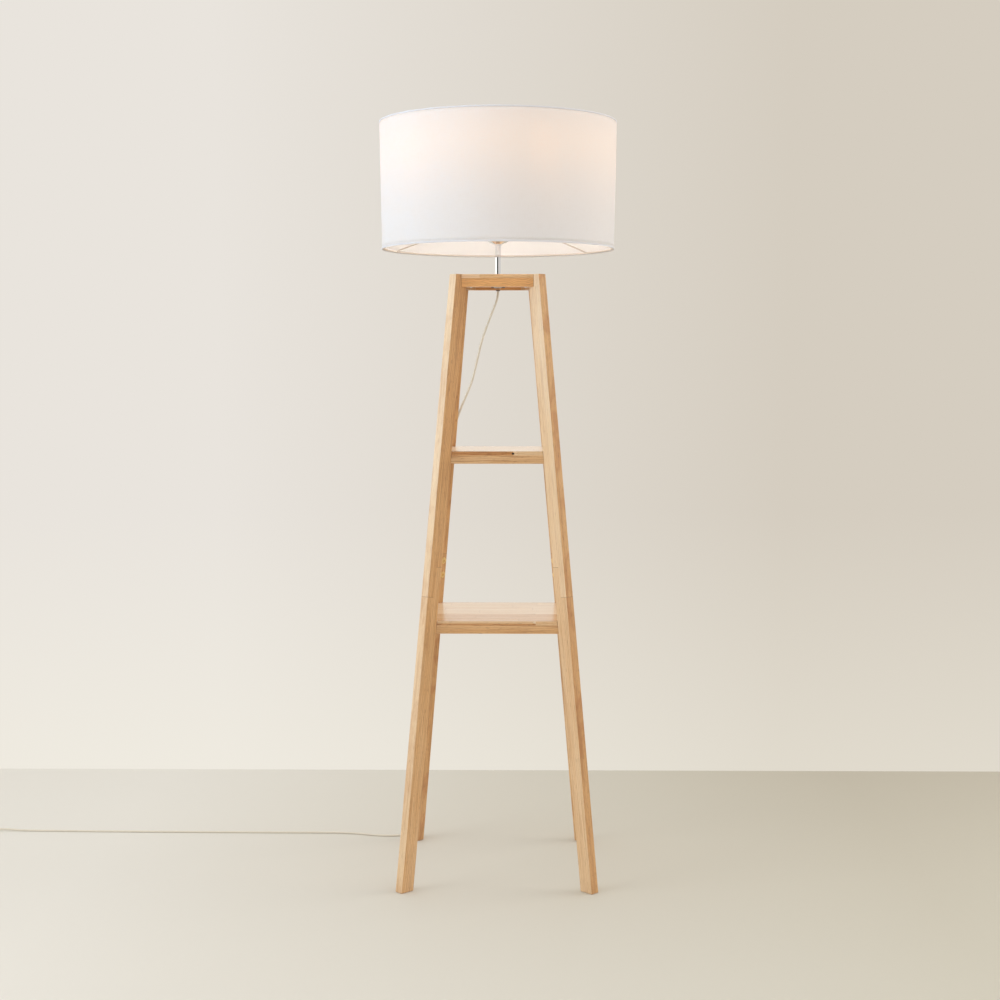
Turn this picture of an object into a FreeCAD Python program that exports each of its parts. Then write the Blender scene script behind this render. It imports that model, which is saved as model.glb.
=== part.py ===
import FreeCAD, Part
import math
import os

# Shelf floor lamp: four splayed legs set on the diagonal, a top frame and two shelves
# between them, a chrome stem with a lampholder, and a drum shade on a drop spider.
# Millimetres, +Z up, origin on the floor under the stem, +Y to the back.

Vec = FreeCAD.Vector
UP = Vec(0, 0, 1)
ORIGIN = Vec(0, 0, 0)
SQRT2 = math.sqrt(2)
TOUCH = 0.01                # how near an edge counts as lying in a plane
PARALLEL = 0.999            # cosine above which an edge counts as lengthwise

# ---------------------------------------------------------------- driving sizes
# Legs: rectangular bars whose narrow faces look to and from the stem.
LEG_TOP_Z = 1274.0          # top of the legs and of the top frame
FOOT_SPREAD = 191.5         # leg centre from the middle planes, at the floor
TOP_SPREAD = 81.0           # the same at the legs' top
LEG_THICK = 20.0            # narrow face
LEG_WIDE = 32.0             # wide face
LEG_ARRIS = 1.2             # rounding of the long edges
FOOT_CHAMFER = 1.5
LAP_SHOULDER_Z = 607.0      # where the upper leg's outer half ends
LAP_TONGUE_Z = 670.0        # where the lower leg's inner half ends

# Lap fasteners: two flat-headed bolts through each tongue into blind inserts.
LAP_BOLT_PITCH = 32.0
LAP_BOLT_D = 6.0
LAP_BOLT_REACH = 10.0       # past the lap's meeting plane
LAP_HEAD_D = 15.0
LAP_HEAD_THICK = 2.2
LAP_HEAD_CHAMFER = 0.6
LAP_KEY_FLATS = 4.0         # hexagon key recess
LAP_KEY_DEPTH = 1.6
INSERT_D = 10.0
INSERT_LENGTH = 12.0

# Tiers: a laminated panel on four rails, with a block in each corner.
UPPER_SHELF_Z = 908.0       # top face
LOWER_SHELF_Z = 556.5       # top face
PANEL_THICK = 8.5
RAIL_HEIGHT = 17.5
RAIL_THICK = 20.0
BLOCK_SIDE = 20.0           # corner block, measured along each rail
LEG_SCREW_D = 5.0
LEG_SCREW_GRIP = 20.0       # length inside the leg
LEG_SCREW_HEAD_D = 9.0
LEG_SCREW_HEAD_THICK = 2.4

# Stem: a chromed tube through the top panel and a crossbar under it.
CROSSBAR_WIDE = 60.0
CROSSBAR_THICK = 12.0
STEM_D = 12.0
STEM_THREAD_D = 10.0        # reduced at both ends
STEM_BORE_D = 7.0
STEM_TAIL = 3.6             # below the rails' undersides
STEM_HOLE_GAP = 0.1         # round the tube, in the wood
STEM_RISE = 64.0            # from the top panel to the collar
FLANGE_LONG = 36.0
FLANGE_WIDE = 18.0
FLANGE_THICK = 2.0
FLANGE_SCREW_PITCH = 24.0
FLANGE_SCREW_D = 3.5
FLANGE_SCREW_HEAD_D = 6.8
FLANGE_SCREW_HEAD_THICK = 1.8
FLANGE_SCREW_GRIP = 9.0     # length inside the crossbar
LOCKNUT_FLATS = 14.0
LOCKNUT_THICK = 2.4
GRIP_LENGTH = 9.0           # cord grip inside the tube
GRIP_LIP_D = 9.0
GRIP_LIP_THICK = 1.4

# Collar, dish and lampholder.
COLLAR_D = 15.0
COLLAR_HEIGHT = 3.2
DISH_D = 45.0
DISH_NECK_D = 17.0
DISH_HEIGHT = 7.2
DISH_RIM = 1.6              # upright edge of the dish
DISH_WALL = 1.0
STEM_NIPPLE = 14.0          # threaded end above the dish's bottom
HOLDER_BASE_FOOT_D = 24.0
HOLDER_D = 38.0
HOLDER_BASE_HEIGHT = 26.0
HOLDER_WALL = 2.0
HOLDER_NECK_HEIGHT = 23.0   # plain part of the skirt below the shade seat
SEAT_D = 50.0
SEAT_THICK = 2.0
SKIRT_THREAD_D = 39.4
SKIRT_THREAD_HEIGHT = 10.8
SOCKET_BORE_D = 26.9        # screw shell for a 27 mm lamp cap
SOCKET_SHELL_WALL = 0.7
SOCKET_FLOOR = 10.0         # insulating block under the cap
SOCKET_SHELL_DEPTH = 2.0    # shell's edge below the mouth
CONTACT_D = 8.0
CONTACT_HEIGHT = 1.5

# Bulb.
CAP_D = 26.0
CAP_LENGTH = 25.0
CAP_TIP_D = 9.0
CAP_TIP = 2.0
CAP_TAPER = 4.0             # height of the cone between tip and thread
BULB_NECK_D = 27.0
BULB_NECK_LENGTH = 12.0     # straight glass above the cap
BULB_SWELL_END = -20.0      # angle on the ball where the swelling neck meets it
BULB_D = 60.0
BULB_LENGTH = 80.0          # glass above the cap
BULB_WALL = 0.8

# Ring that clamps the shade, and the washer under it.
RUNNING_GAP = 0.05          # radial, ring on the skirt's thread
SEAT_GAP = 0.1              # between stacked faces of turning pieces
LOOSE_GAP = 0.4             # radial, hub and washer round the thread
HUB_D = 58.0
HUB_THICK = 1.6
WASHER_D = 54.0
WASHER_THICK = 1.0
CLAMP_RING_D = 55.0
CLAMP_RING_HEIGHT = 8.0
CLAMP_RING_GRIPS = 16
CLAMP_GRIP_D = 4.0

# Shade: a slightly tapered drum.
SHADE_TOP_D = 500.0
SHADE_FLARE = 9.0           # the lower edge is this much smaller
SHADE_HEIGHT = 264.5
SHADE_DROP = 63.2           # shade seat above the drum's lower edge
FABRIC_THICK = 0.7
LINING_THICK = 0.6
BINDING_HEIGHT = 5.0
BINDING_THICK = 0.5
WIRE_D = 4.0                # both rings
WIRE_GAP = 0.05             # between a ring and the binding
ARM_D = 3.0
ARM_COUNT = 3
ARM_FIRST_AZIMUTH = 37.0
ARM_FOOT = 14.0             # radial length of the bend at the lower ring
ARM_FOOT_RISE = 5.0         # of the bend above the ring

# Cord: two-core flex, its clips, floor switch, coil and plug.
CORD_D = 4.5
CORNER_SHARE = 0.45         # of the shorter run, taken by the arc at a corner
CLIP_BASE = 0.75            # between leg and cord
CLIP_WALL = 1.6
CLIP_LONG = 8.0
CLIP_EDGE = 0.8             # rounding
CLIP_NAIL_SIDE = 5.5        # from the cord's middle to the nail
CLIP_NAIL_D = 1.6
CLIP_NAIL_HEAD_D = 3.4
CLIP_NAIL_HEAD = 0.8
CLIP_NAIL_LAND = 0.5        # saddle left beyond the nail's head
CLIP_NAIL_GRIP = 10.0
CLIP_GAP = 0.05             # round the cord
CLIP_HEIGHTS = (860.0, 730.0, 480.0, 290.0, 110.0)

SWITCH_LONG = 56.0
SWITCH_WIDE = 32.0
SWITCH_BASE_HEIGHT = 8.0
SWITCH_COVER_HEIGHT = 9.0
SWITCH_WALL = 2.0
SWITCH_EDGE = 3.0           # rounding of the cover
RELIEF_LONG = 20.0
RELIEF_TIP_D = 6.0
RELIEF_ROOT_D = 8.4
BUTTON_D = 20.0
BUTTON_PROUD = 4.0
BUTTON_EDGE = 1.3
BUTTON_FLANGE_D = 24.0
BUTTON_FLANGE = 1.5
BUTTON_GAP = 0.3

COIL_RADIUS = 30.0          # outermost half turn, at the cord's middle
COIL_STEP = 5.0             # from turn to turn, and from layer to layer
COIL_HALF_TURNS = 3         # per layer
COIL_LEAD = 20.0            # straight end towards the plug
COIL_APART = 18.0           # stretches nearer than this along the cord are neighbours
COIL_SAMPLE = 2.25          # spacing of the points that the least gap is taken from

PLUG_TAIL_LONG = 28.0
PLUG_TAIL_D = 11.0
PLUG_TAIL_TIP_D = 6.1
PLUG_LONG = 36.0
PLUG_SHOULDER = 16.2        # from the rear to where the body is widest
PLUG_NARROWING = 9.0        # length of the taper at the front
PLUG_REAR_WIDE = 15.0
PLUG_WIDE = 35.0
PLUG_FRONT_WIDE = 26.0
PLUG_THICK = 14.5
PLUG_EDGE = 2.0
PIN_D = 4.0                 # pin and its insulating sleeve
PIN_SLEEVE_LONG = 10.0
PIN_CORE_D = 2.8            # inside sleeve and body
PIN_NOSE = 0.8              # chamfer of the pin's end
PIN_LONG = 19.0
PIN_PITCH = 18.6
PIN_ROOT = 8.0              # inside the plug's body

# The cord's route, chosen by hand: out of the stem, over to the back left leg, down
# its hidden face in the clips, and along the floor to the switch.
CORD_ROUTE = (
    (0.0, 0.0, 1243.0), (0.0, 0.0, 1231.0), (-8.8, 5.6, 1208.0), (-23.4, 16.0, 1172.0),
    (-36.8, 31.0, 1134.0), (-46.6, 48.0, 1092.0), (-57.6, 68.0, 1048.0),
    (-84.4, 102.8, 990.0), (-97.0, 115.8, 950.0), (-103.4, 121.8, 910.0),
    (-176.2, 194.6, 70.0), (-179.6, 204.0, 39.0), (-191.0, 215.4, 12.6),
    (-213.0, 218.6, 2.25), (-245.0, 212.4, 2.25), (-282.0, 214.2, 2.25),
    (-322.0, 228.8, 2.25), (-372.0, 236.6, 2.25), (-640.0, 237.6, 2.25),
    (-930.0, 240.4, 2.25), (-1104.0, 245.4, 2.25), (-1130.0, 246.6, 3.2),
    (-1152.0, 247.0, 5.0), (-1172.0, 247.0, 5.0),
)
# From the switch to the coil.
TAIL_ROUTE = (
    (-1268.0, 247.0, 5.0), (-1285.0, 247.0, 5.0), (-1307.0, 247.0, 2.25),
    (-1330.0, 247.0, 2.25),
)

# ---------------------------------------------------------------- worked-out places
LEG_FOOT_R = FOOT_SPREAD * SQRT2
LEG_TOP_R = TOP_SPREAD * SQRT2
LEAN = math.atan2(LEG_FOOT_R - LEG_TOP_R, LEG_TOP_Z)
LEG_HALF = LEG_WIDE / 2
LEG_AZIMUTHS = {"front_left": -135.0, "front_right": -45.0,
                "rear_left": 135.0, "rear_right": 45.0}
CORD_LEG = "rear_left"

TIER_HEIGHT = PANEL_THICK + RAIL_HEIGHT
TOP_UNDER_Z = LEG_TOP_Z - TIER_HEIGHT
PANEL_UNDER_Z = LEG_TOP_Z - PANEL_THICK
CROSSBAR_UNDER_Z = PANEL_UNDER_Z - CROSSBAR_THICK
FLANGE_UNDER_Z = CROSSBAR_UNDER_Z - FLANGE_THICK
STEM_END_Z = TOP_UNDER_Z - STEM_TAIL
COLLAR_Z = LEG_TOP_Z + STEM_RISE
DISH_Z = COLLAR_Z + COLLAR_HEIGHT
HOLDER_Z = DISH_Z + DISH_WALL
SKIRT_Z = HOLDER_Z + HOLDER_BASE_HEIGHT
SEAT_UNDER_Z = SKIRT_Z + HOLDER_NECK_HEIGHT
SEAT_Z = SEAT_UNDER_Z + SEAT_THICK
MOUTH_Z = SEAT_Z + SKIRT_THREAD_HEIGHT
SOCKET_FLOOR_Z = SKIRT_Z + SOCKET_FLOOR
HUB_Z = SEAT_Z + SEAT_GAP
WASHER_Z = HUB_Z + HUB_THICK + SEAT_GAP
CLAMP_RING_Z = WASHER_Z + WASHER_THICK + SEAT_GAP
SHADE_Z = SEAT_Z - SHADE_DROP
SHADE_TOP_Z = SHADE_Z + SHADE_HEIGHT
SHADE_BOTTOM_D = SHADE_TOP_D - SHADE_FLARE
SHADE_SLANT = math.atan2(SHADE_FLARE / 2, SHADE_HEIGHT)
CORD_R = CORD_D / 2
SWITCH_START = Vec(*CORD_ROUTE[-1])         # tip of the switch's first relief


def spread_at(z):
    """Distance of a leg's middle from the middle planes at height z."""
    return FOOT_SPREAD - (FOOT_SPREAD - TOP_SPREAD) * z / LEG_TOP_Z


# ---------------------------------------------------------------- helpers
nodes = {}


def add(name, shape):
    """Keep a sub-part under its name."""
    nodes[name] = shape


def cylinder(d, z0, z1, x=0.0, y=0.0):
    return Part.makeCylinder(d / 2, z1 - z0, Vec(x, y, z0))


def pipe(outer_d, inner_d, z0, z1):
    return cylinder(outer_d, z0, z1).cut(cylinder(inner_d, z0, z1))


def box(x0, x1, y0, y1, z0, z1):
    return Part.makeBox(x1 - x0, y1 - y0, z1 - z0, Vec(x0, y0, z0))


def prism(outline, direction):
    """Extrude a closed outline of points along a vector."""
    wire = Part.makePolygon(list(outline) + [outline[0]])
    return Part.Face(wire).extrude(direction)


def revolved(profile):
    """Turn a closed profile of (radius, height) pairs about the stem's axis."""
    points = [Vec(r, 0, z) for r, z in profile]
    wire = Part.makePolygon(points + [points[0]])
    return Part.Face(wire).revolve(ORIGIN, UP, 360)


def turned(shape, degrees):
    """A copy turned about the stem's axis."""
    return shape.rotated(ORIGIN, UP, degrees)


def hexagon(flats, z0, z1):
    radius = flats / math.sqrt(3)
    corners = [Vec(radius * math.cos(math.radians(60 * k)),
                   radius * math.sin(math.radians(60 * k)), z0) for k in range(6)]
    return prism(corners, Vec(0, 0, z1 - z0))


def group(solids):
    return Part.makeCompound(solids)


def cut_all(shape, tools):
    for tool in tools:
        shape = shape.cut(tool)
    return shape


# ---------------------------------------------------------------- legs
# Each leg is drawn in its own plane, with +X pointing away from the stem, and is then
# turned to its corner.
def along_leg(s, q, y=0.0):
    """Point at distance s up the leg's axis and q outwards, square to the axis."""
    return Vec(LEG_FOOT_R - s * math.sin(LEAN) + q * math.cos(LEAN), y,
               s * math.cos(LEAN) + q * math.sin(LEAN))


def leg_edge_at(z, q):
    """Point of the line q outwards from the leg's axis where it passes height z."""
    return along_leg((z - q * math.sin(LEAN)) / math.cos(LEAN), q)


def leg_bar(outline):
    """Extrude a leg's side view across its thickness."""
    shifted = [p - Vec(0, LEG_THICK / 2, 0) for p in outline]
    return prism(shifted, Vec(0, LEG_THICK, 0))


def eased(bar):
    """Round the four long outer edges of a leg."""
    axis = Vec(-math.sin(LEAN), 0, math.cos(LEAN))
    outward = Vec(math.cos(LEAN), 0, math.sin(LEAN))
    foot = Vec(LEG_FOOT_R, 0, 0)
    chosen = []
    for edge in bar.Edges:
        start, end = edge.Vertexes[0].Point, edge.Vertexes[-1].Point
        lengthwise = abs((end - start).normalize().dot(axis)) > PARALLEL
        at_corner = abs(abs((start - foot).dot(outward)) - LEG_HALF) < TOUCH
        if lengthwise and at_corner:
            chosen.append(edge)
    return bar.makeFillet(LEG_ARRIS, chosen)


LAP_LOW = LAP_SHOULDER_Z / math.cos(LEAN)
LAP_HIGH = LAP_TONGUE_Z / math.cos(LEAN)
LAP_MIDDLE = (LAP_LOW + LAP_HIGH) / 2


def lower_leg():
    """Foot to tongue; the tongue is the inner half of the bar."""
    bar = leg_bar([leg_edge_at(0, -LEG_HALF), leg_edge_at(0, LEG_HALF),
                   along_leg(LAP_LOW, LEG_HALF), along_leg(LAP_LOW, 0),
                   along_leg(LAP_HIGH, 0), along_leg(LAP_HIGH, -LEG_HALF)])
    sole = [edge for edge in bar.Edges if edge.BoundBox.ZMax < TOUCH]
    return eased(bar.makeChamfer(FOOT_CHAMFER, sole))


def upper_leg():
    """Shoulder to top; below the tongue's top only the outer half goes on."""
    bar = leg_bar([along_leg(LAP_HIGH, -LEG_HALF), along_leg(LAP_HIGH, 0),
                   along_leg(LAP_LOW, 0), along_leg(LAP_LOW, LEG_HALF),
                   leg_edge_at(LEG_TOP_Z, LEG_HALF), leg_edge_at(LEG_TOP_Z, -LEG_HALF)])
    return eased(bar)


def plain_leg():
    """The whole bar with square edges, for cutting what seats against it."""
    return leg_bar([leg_edge_at(0, -LEG_HALF), leg_edge_at(0, LEG_HALF),
                    leg_edge_at(LEG_TOP_Z, LEG_HALF), leg_edge_at(LEG_TOP_Z, -LEG_HALF)])


def square_to_leg(shape, s, q, y=0.0):
    """Place a shape made along +Z so that it points outwards, square to the leg."""
    placed = shape.copy()
    placed.rotate(ORIGIN, Vec(0, 1, 0), 90 - math.degrees(LEAN))
    placed.translate(along_leg(s, q, y))
    return placed


def lap_bolt(s):
    """Flat head on the face that looks to the stem, shank through the tongue."""
    head = cylinder(LAP_HEAD_D, -LAP_HEAD_THICK, 0)
    rim = [edge for edge in head.Edges if edge.BoundBox.ZMax < TOUCH - LAP_HEAD_THICK]
    head = head.makeChamfer(LAP_HEAD_CHAMFER, rim)
    head = head.cut(hexagon(LAP_KEY_FLATS, -LAP_HEAD_THICK, LAP_KEY_DEPTH - LAP_HEAD_THICK))
    shank = cylinder(LAP_BOLT_D, 0, LEG_HALF + LAP_BOLT_REACH)
    return square_to_leg(head.fuse(shank).removeSplitter(), s, -LEG_HALF)


def lap_insert(s):
    """Barrel insert, blind in the upper leg's outer half."""
    barrel = cylinder(INSERT_D, 0, INSERT_LENGTH)
    barrel = barrel.cut(cylinder(LAP_BOLT_D, 0, LAP_BOLT_REACH))
    return square_to_leg(barrel, s, 0)


def lap_places():
    return (LAP_MIDDLE - LAP_BOLT_PITCH / 2, LAP_MIDDLE + LAP_BOLT_PITCH / 2)


# ---------------------------------------------------------------- tiers
def tier_half(top_z, seated):
    """Half width of a tier: a shelf meets the inner corners of the legs, and the top
    frame is let in to the middle of their wide faces."""
    if seated:
        return spread_at(top_z - TIER_HEIGHT / 2) + LEG_THICK / (2 * SQRT2)
    return spread_at(top_z) - (LEG_WIDE - LEG_THICK) / (2 * SQRT2)


def leg_face_radius(z):
    """Distance from the stem's axis to the leg face that looks at it."""
    return leg_edge_at(z, -LEG_HALF).x


def leg_screw(top_z, half):
    """Screw from the corner block into the leg, drawn along +X."""
    z = top_z - PANEL_THICK - RAIL_HEIGHT / 2
    face = block_face(half)
    end = leg_face_radius(z) + LEG_SCREW_GRIP
    shank = Part.makeCylinder(LEG_SCREW_D / 2, end - face, Vec(face, 0, z), Vec(1, 0, 0))
    head = Part.makeCylinder(LEG_SCREW_HEAD_D / 2, LEG_SCREW_HEAD_THICK,
                             Vec(face - LEG_SCREW_HEAD_THICK, 0, z), Vec(1, 0, 0))
    rim = [e for e in head.Edges if e.BoundBox.XMax < face - LEG_SCREW_HEAD_THICK + TOUCH]
    head = head.makeChamfer(LEG_SCREW_HEAD_THICK / 2, rim)
    return head.fuse(shank).removeSplitter()


def block_face(half):
    """Distance from the stem's axis to the corner block's long face."""
    return (half - RAIL_THICK) * SQRT2 - BLOCK_SIDE / SQRT2


def corner_block(top_z, half):
    """Three-sided block between two rails, drawn with its corner on +X."""
    corner, face = (half - RAIL_THICK) * SQRT2, block_face(half)
    low = top_z - TIER_HEIGHT
    outline = [Vec(corner, 0, low), Vec(face, corner - face, low),
               Vec(face, face - corner, low)]
    return prism(outline, Vec(0, 0, RAIL_HEIGHT))


def tier(name, top_z, half, cutters):
    """Panel, four mitred rails and corner blocks of one tier, seated on the legs."""
    low, line = top_z - TIER_HEIGHT, top_z - PANEL_THICK
    inner = half - RAIL_THICK
    screws = [turned(leg_screw(top_z, half), a) for a in LEG_AZIMUTHS.values()]
    panel = box(-half, half, -half, half, line, top_z)
    rail = prism([Vec(-half, -half, low), Vec(half, -half, low),
                  Vec(inner, -inner, low), Vec(-inner, -inner, low)],
                 Vec(0, 0, RAIL_HEIGHT))
    add(name + "_panel", cut_all(panel, cutters))
    for quarter, side in enumerate(("front", "right", "rear", "left")):
        add(name + "_rail_" + side, cut_all(turned(rail, 90 * quarter), cutters + screws))
    blocks = [turned(corner_block(top_z, half), a) for a in LEG_AZIMUTHS.values()]
    add(name + "_corner_blocks",
        group([block.cut(screw) for block, screw in zip(blocks, screws)]))
    return screws


# ---------------------------------------------------------------- stem and lampholder
def stem_tube():
    """Chromed tube with reduced, threaded ends."""
    thread_low = FLANGE_UNDER_Z + FLANGE_THICK
    thread_top = DISH_Z + STEM_NIPPLE
    body = cylinder(STEM_D, thread_low, DISH_Z)
    ends = cylinder(STEM_THREAD_D, STEM_END_Z, thread_top)
    return body.fuse(ends).removeSplitter().cut(
        cylinder(STEM_BORE_D, STEM_END_Z, thread_top))


def flange_screw(x):
    """Pan-head screw up through the flange into the crossbar."""
    head = cylinder(FLANGE_SCREW_HEAD_D, FLANGE_UNDER_Z - FLANGE_SCREW_HEAD_THICK,
                    FLANGE_UNDER_Z, x)
    rim = [e for e in head.Edges
           if e.BoundBox.ZMax < FLANGE_UNDER_Z - FLANGE_SCREW_HEAD_THICK + TOUCH]
    head = head.makeChamfer(FLANGE_SCREW_HEAD_THICK / 2, rim)
    shank = cylinder(FLANGE_SCREW_D, FLANGE_UNDER_Z,
                     CROSSBAR_UNDER_Z + FLANGE_SCREW_GRIP, x)
    return head.fuse(shank).removeSplitter()


def stem_flange(screws):
    """Oblong plate with round ends."""
    reach = (FLANGE_LONG - FLANGE_WIDE) / 2
    plate = box(-reach, reach, -FLANGE_WIDE / 2, FLANGE_WIDE / 2,
                FLANGE_UNDER_Z, CROSSBAR_UNDER_Z)
    for x in (-reach, reach):
        plate = plate.fuse(cylinder(FLANGE_WIDE, FLANGE_UNDER_Z, CROSSBAR_UNDER_Z, x))
    plate = plate.removeSplitter().cut(cylinder(STEM_THREAD_D, FLANGE_UNDER_Z,
                                                CROSSBAR_UNDER_Z))
    return cut_all(plate, screws)


def holder_dish():
    """Shallow chromed dish under the lampholder."""
    rim_z = DISH_Z + DISH_HEIGHT
    slope_z = rim_z - DISH_RIM
    return revolved([(STEM_THREAD_D / 2, DISH_Z), (DISH_NECK_D / 2, DISH_Z),
                     (DISH_D / 2, slope_z), (DISH_D / 2, rim_z),
                     (DISH_D / 2 - DISH_WALL, rim_z),
                     (DISH_D / 2 - DISH_WALL, slope_z + DISH_WALL / 2),
                     (DISH_NECK_D / 2, DISH_Z + DISH_WALL),
                     (STEM_THREAD_D / 2, DISH_Z + DISH_WALL)])


def holder_base():
    """Cup of the lampholder, screwed on the stem's upper thread."""
    foot, outer = HOLDER_BASE_FOOT_D / 2, HOLDER_D / 2
    shoulder_z = HOLDER_Z + (outer - foot) + HOLDER_WALL
    floor_z = DISH_Z + STEM_NIPPLE
    inner = outer - HOLDER_WALL
    return revolved([(STEM_THREAD_D / 2, HOLDER_Z), (DISH_NECK_D / 2, HOLDER_Z),
                     (foot, HOLDER_Z + HOLDER_WALL), (outer, shoulder_z),
                     (outer, SKIRT_Z), (inner, SKIRT_Z), (inner, floor_z),
                     (STEM_THREAD_D / 2, floor_z)])


def holder_skirt():
    """Outer sleeve with the shade's seat and the thread above it."""
    bore = SOCKET_BORE_D / 2 + SOCKET_SHELL_WALL
    thread = SKIRT_THREAD_D / 2
    return revolved([(bore, SOCKET_FLOOR_Z), (bore, MOUTH_Z), (thread, MOUTH_Z),
                     (thread, SEAT_Z), (SEAT_D / 2, SEAT_Z), (SEAT_D / 2, SEAT_UNDER_Z),
                     (HOLDER_D / 2, SEAT_UNDER_Z), (HOLDER_D / 2, SKIRT_Z),
                     (HOLDER_D / 2 - HOLDER_WALL, SKIRT_Z),
                     (HOLDER_D / 2 - HOLDER_WALL, SOCKET_FLOOR_Z)])


def holder_insert():
    """Insulating block that carries the centre contact."""
    block = cylinder(HOLDER_D - 2 * HOLDER_WALL, SKIRT_Z, SOCKET_FLOOR_Z)
    boss = cylinder(CONTACT_D, SOCKET_FLOOR_Z, SOCKET_FLOOR_Z + CONTACT_HEIGHT)
    return block.fuse(boss).removeSplitter()


def socket_shell():
    """Metal screw shell that the lamp's cap turns into."""
    bore = SOCKET_BORE_D
    return pipe(bore + 2 * SOCKET_SHELL_WALL, bore, SOCKET_FLOOR_Z,
                MOUTH_Z - SOCKET_SHELL_DEPTH)


# ---------------------------------------------------------------- bulb
CAP_TIP_Z = SOCKET_FLOOR_Z + CONTACT_HEIGHT + SEAT_GAP
CAP_Z = CAP_TIP_Z + CAP_TIP
CAP_TOP_Z = CAP_Z + CAP_LENGTH


def bulb_cap():
    """Screw cap with its tip contact."""
    return revolved([(0, CAP_TIP_Z), (CAP_TIP_D / 2, CAP_TIP_Z), (CAP_TIP_D / 2, CAP_Z),
                     (CAP_D / 2, CAP_Z + CAP_TAPER), (CAP_D / 2, CAP_TOP_Z), (0, CAP_TOP_Z)])


def glass_body(shrink, base_z):
    """Solid pear: a straight neck that swells into a ball, all faces set in by shrink."""
    centre = Vec(0, 0, CAP_TOP_Z + BULB_LENGTH - BULB_D / 2)
    r, neck = BULB_D / 2 - shrink, BULB_NECK_D / 2 - shrink

    def on_ball(degrees):
        angle = math.radians(degrees)
        return centre + Vec(r * math.cos(angle), 0, r * math.sin(angle))

    low, bend = Vec(neck, 0, base_z), Vec(neck, 0, CAP_TOP_Z + BULB_NECK_LENGTH)
    side, crown, axis = on_ball(BULB_SWELL_END), centre + UP * r, Vec(0, 0, base_z)
    radial = (side - centre).normalize()
    pull = (side - bend).Length / 3
    swell = Part.BezierCurve()
    swell.setPoles([bend, bend + UP * pull,
                    side - Vec(-radial.z, 0, radial.x) * pull, side])
    edges = [Part.LineSegment(low, bend).toShape(), swell.toShape(),
             Part.Arc(side, on_ball((BULB_SWELL_END + 90) / 2), crown).toShape(),
             Part.LineSegment(crown, axis).toShape(),
             Part.LineSegment(axis, low).toShape()]
    return Part.Face(Part.Wire(edges)).revolve(ORIGIN, UP, 360)


def bulb_globe():
    """Thin glass, closed by a disc at the cap."""
    return glass_body(0, CAP_TOP_Z).cut(glass_body(BULB_WALL, CAP_TOP_Z + BULB_WALL))


# ---------------------------------------------------------------- shade
def shade_radius(z):
    """Outer radius of the drum at height z."""
    share = (z - SHADE_Z) / SHADE_HEIGHT
    return (SHADE_BOTTOM_D + (SHADE_TOP_D - SHADE_BOTTOM_D) * share) / 2


def drum_layer(outer_gap, inner_gap, z0, z1):
    """Wall of the drum between two depths below its outer face."""
    low, high = shade_radius(z0), shade_radius(z1)
    return revolved([(low - outer_gap, z0), (high - outer_gap, z1),
                     (high - inner_gap, z1), (low - inner_gap, z0)])


WALL = FABRIC_THICK + LINING_THICK


def binding(edge_z, inward):
    """Tape folded over an edge of the drum; inward is +1 at the lower edge."""
    far_z = edge_z + inward * BINDING_HEIGHT
    lip_z = edge_z - inward * BINDING_THICK
    z0, z1 = min(far_z, lip_z), max(far_z, lip_z)
    sleeve = drum_layer(-BINDING_THICK, WALL + BINDING_THICK, z0, z1)
    slot_z0, slot_z1 = min(far_z, edge_z), max(far_z, edge_z)
    return sleeve.cut(drum_layer(0, WALL, slot_z0, slot_z1))


def ring_wire_centre(z):
    """Radius of a ring wire that lies against the binding's inner face."""
    clear = (WIRE_D / 2 + WIRE_GAP) / math.cos(SHADE_SLANT)
    return shade_radius(z) - WALL - BINDING_THICK - clear


LOWER_WIRE_Z = SHADE_Z + WIRE_D / 2 + BINDING_THICK
UPPER_WIRE_Z = SHADE_TOP_Z - WIRE_D / 2 - BINDING_THICK


def ring_wire(z):
    return Part.makeTorus(ring_wire_centre(z), WIRE_D / 2, Vec(0, 0, z), UP)


def rounded_path(points, share):
    """Wire of straight runs joined by tangent arcs, and the arcs' radii. Each arc takes
    the given share of the shorter run at its corner."""
    edges, radii = [], []
    here = points[0]
    for before, corner, after in zip(points, points[1:], points[2:]):
        inward, outward = (corner - before), (after - corner)
        reach = share * min(inward.Length, outward.Length)
        inward.normalize()
        outward.normalize()
        turn = math.acos(max(-1.0, min(1.0, inward.dot(outward))))
        start, end = corner - inward * reach, corner + outward * reach
        radius = reach / math.tan(turn / 2)
        chord_middle = (start + end) * 0.5
        sagitta = radius * (1 - math.cos(turn / 2))
        middle = chord_middle + (corner - chord_middle).normalize() * sagitta
        edges.append(Part.LineSegment(here, start).toShape())
        edges.append(Part.Arc(start, middle, end).toShape())
        radii.append(radius)
        here = end
    edges.append(Part.LineSegment(here, points[-1]).toShape())
    return Part.Wire(edges), radii


def swept(wire, diameter):
    """Round bar along a wire."""
    first = wire.Edges[0]
    direction = first.tangentAt(first.FirstParameter)
    start = first.valueAt(first.FirstParameter)
    section = Part.Wire(Part.makeCircle(diameter / 2, start, direction))
    return wire.makePipeShell([section], True, False)


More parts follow.
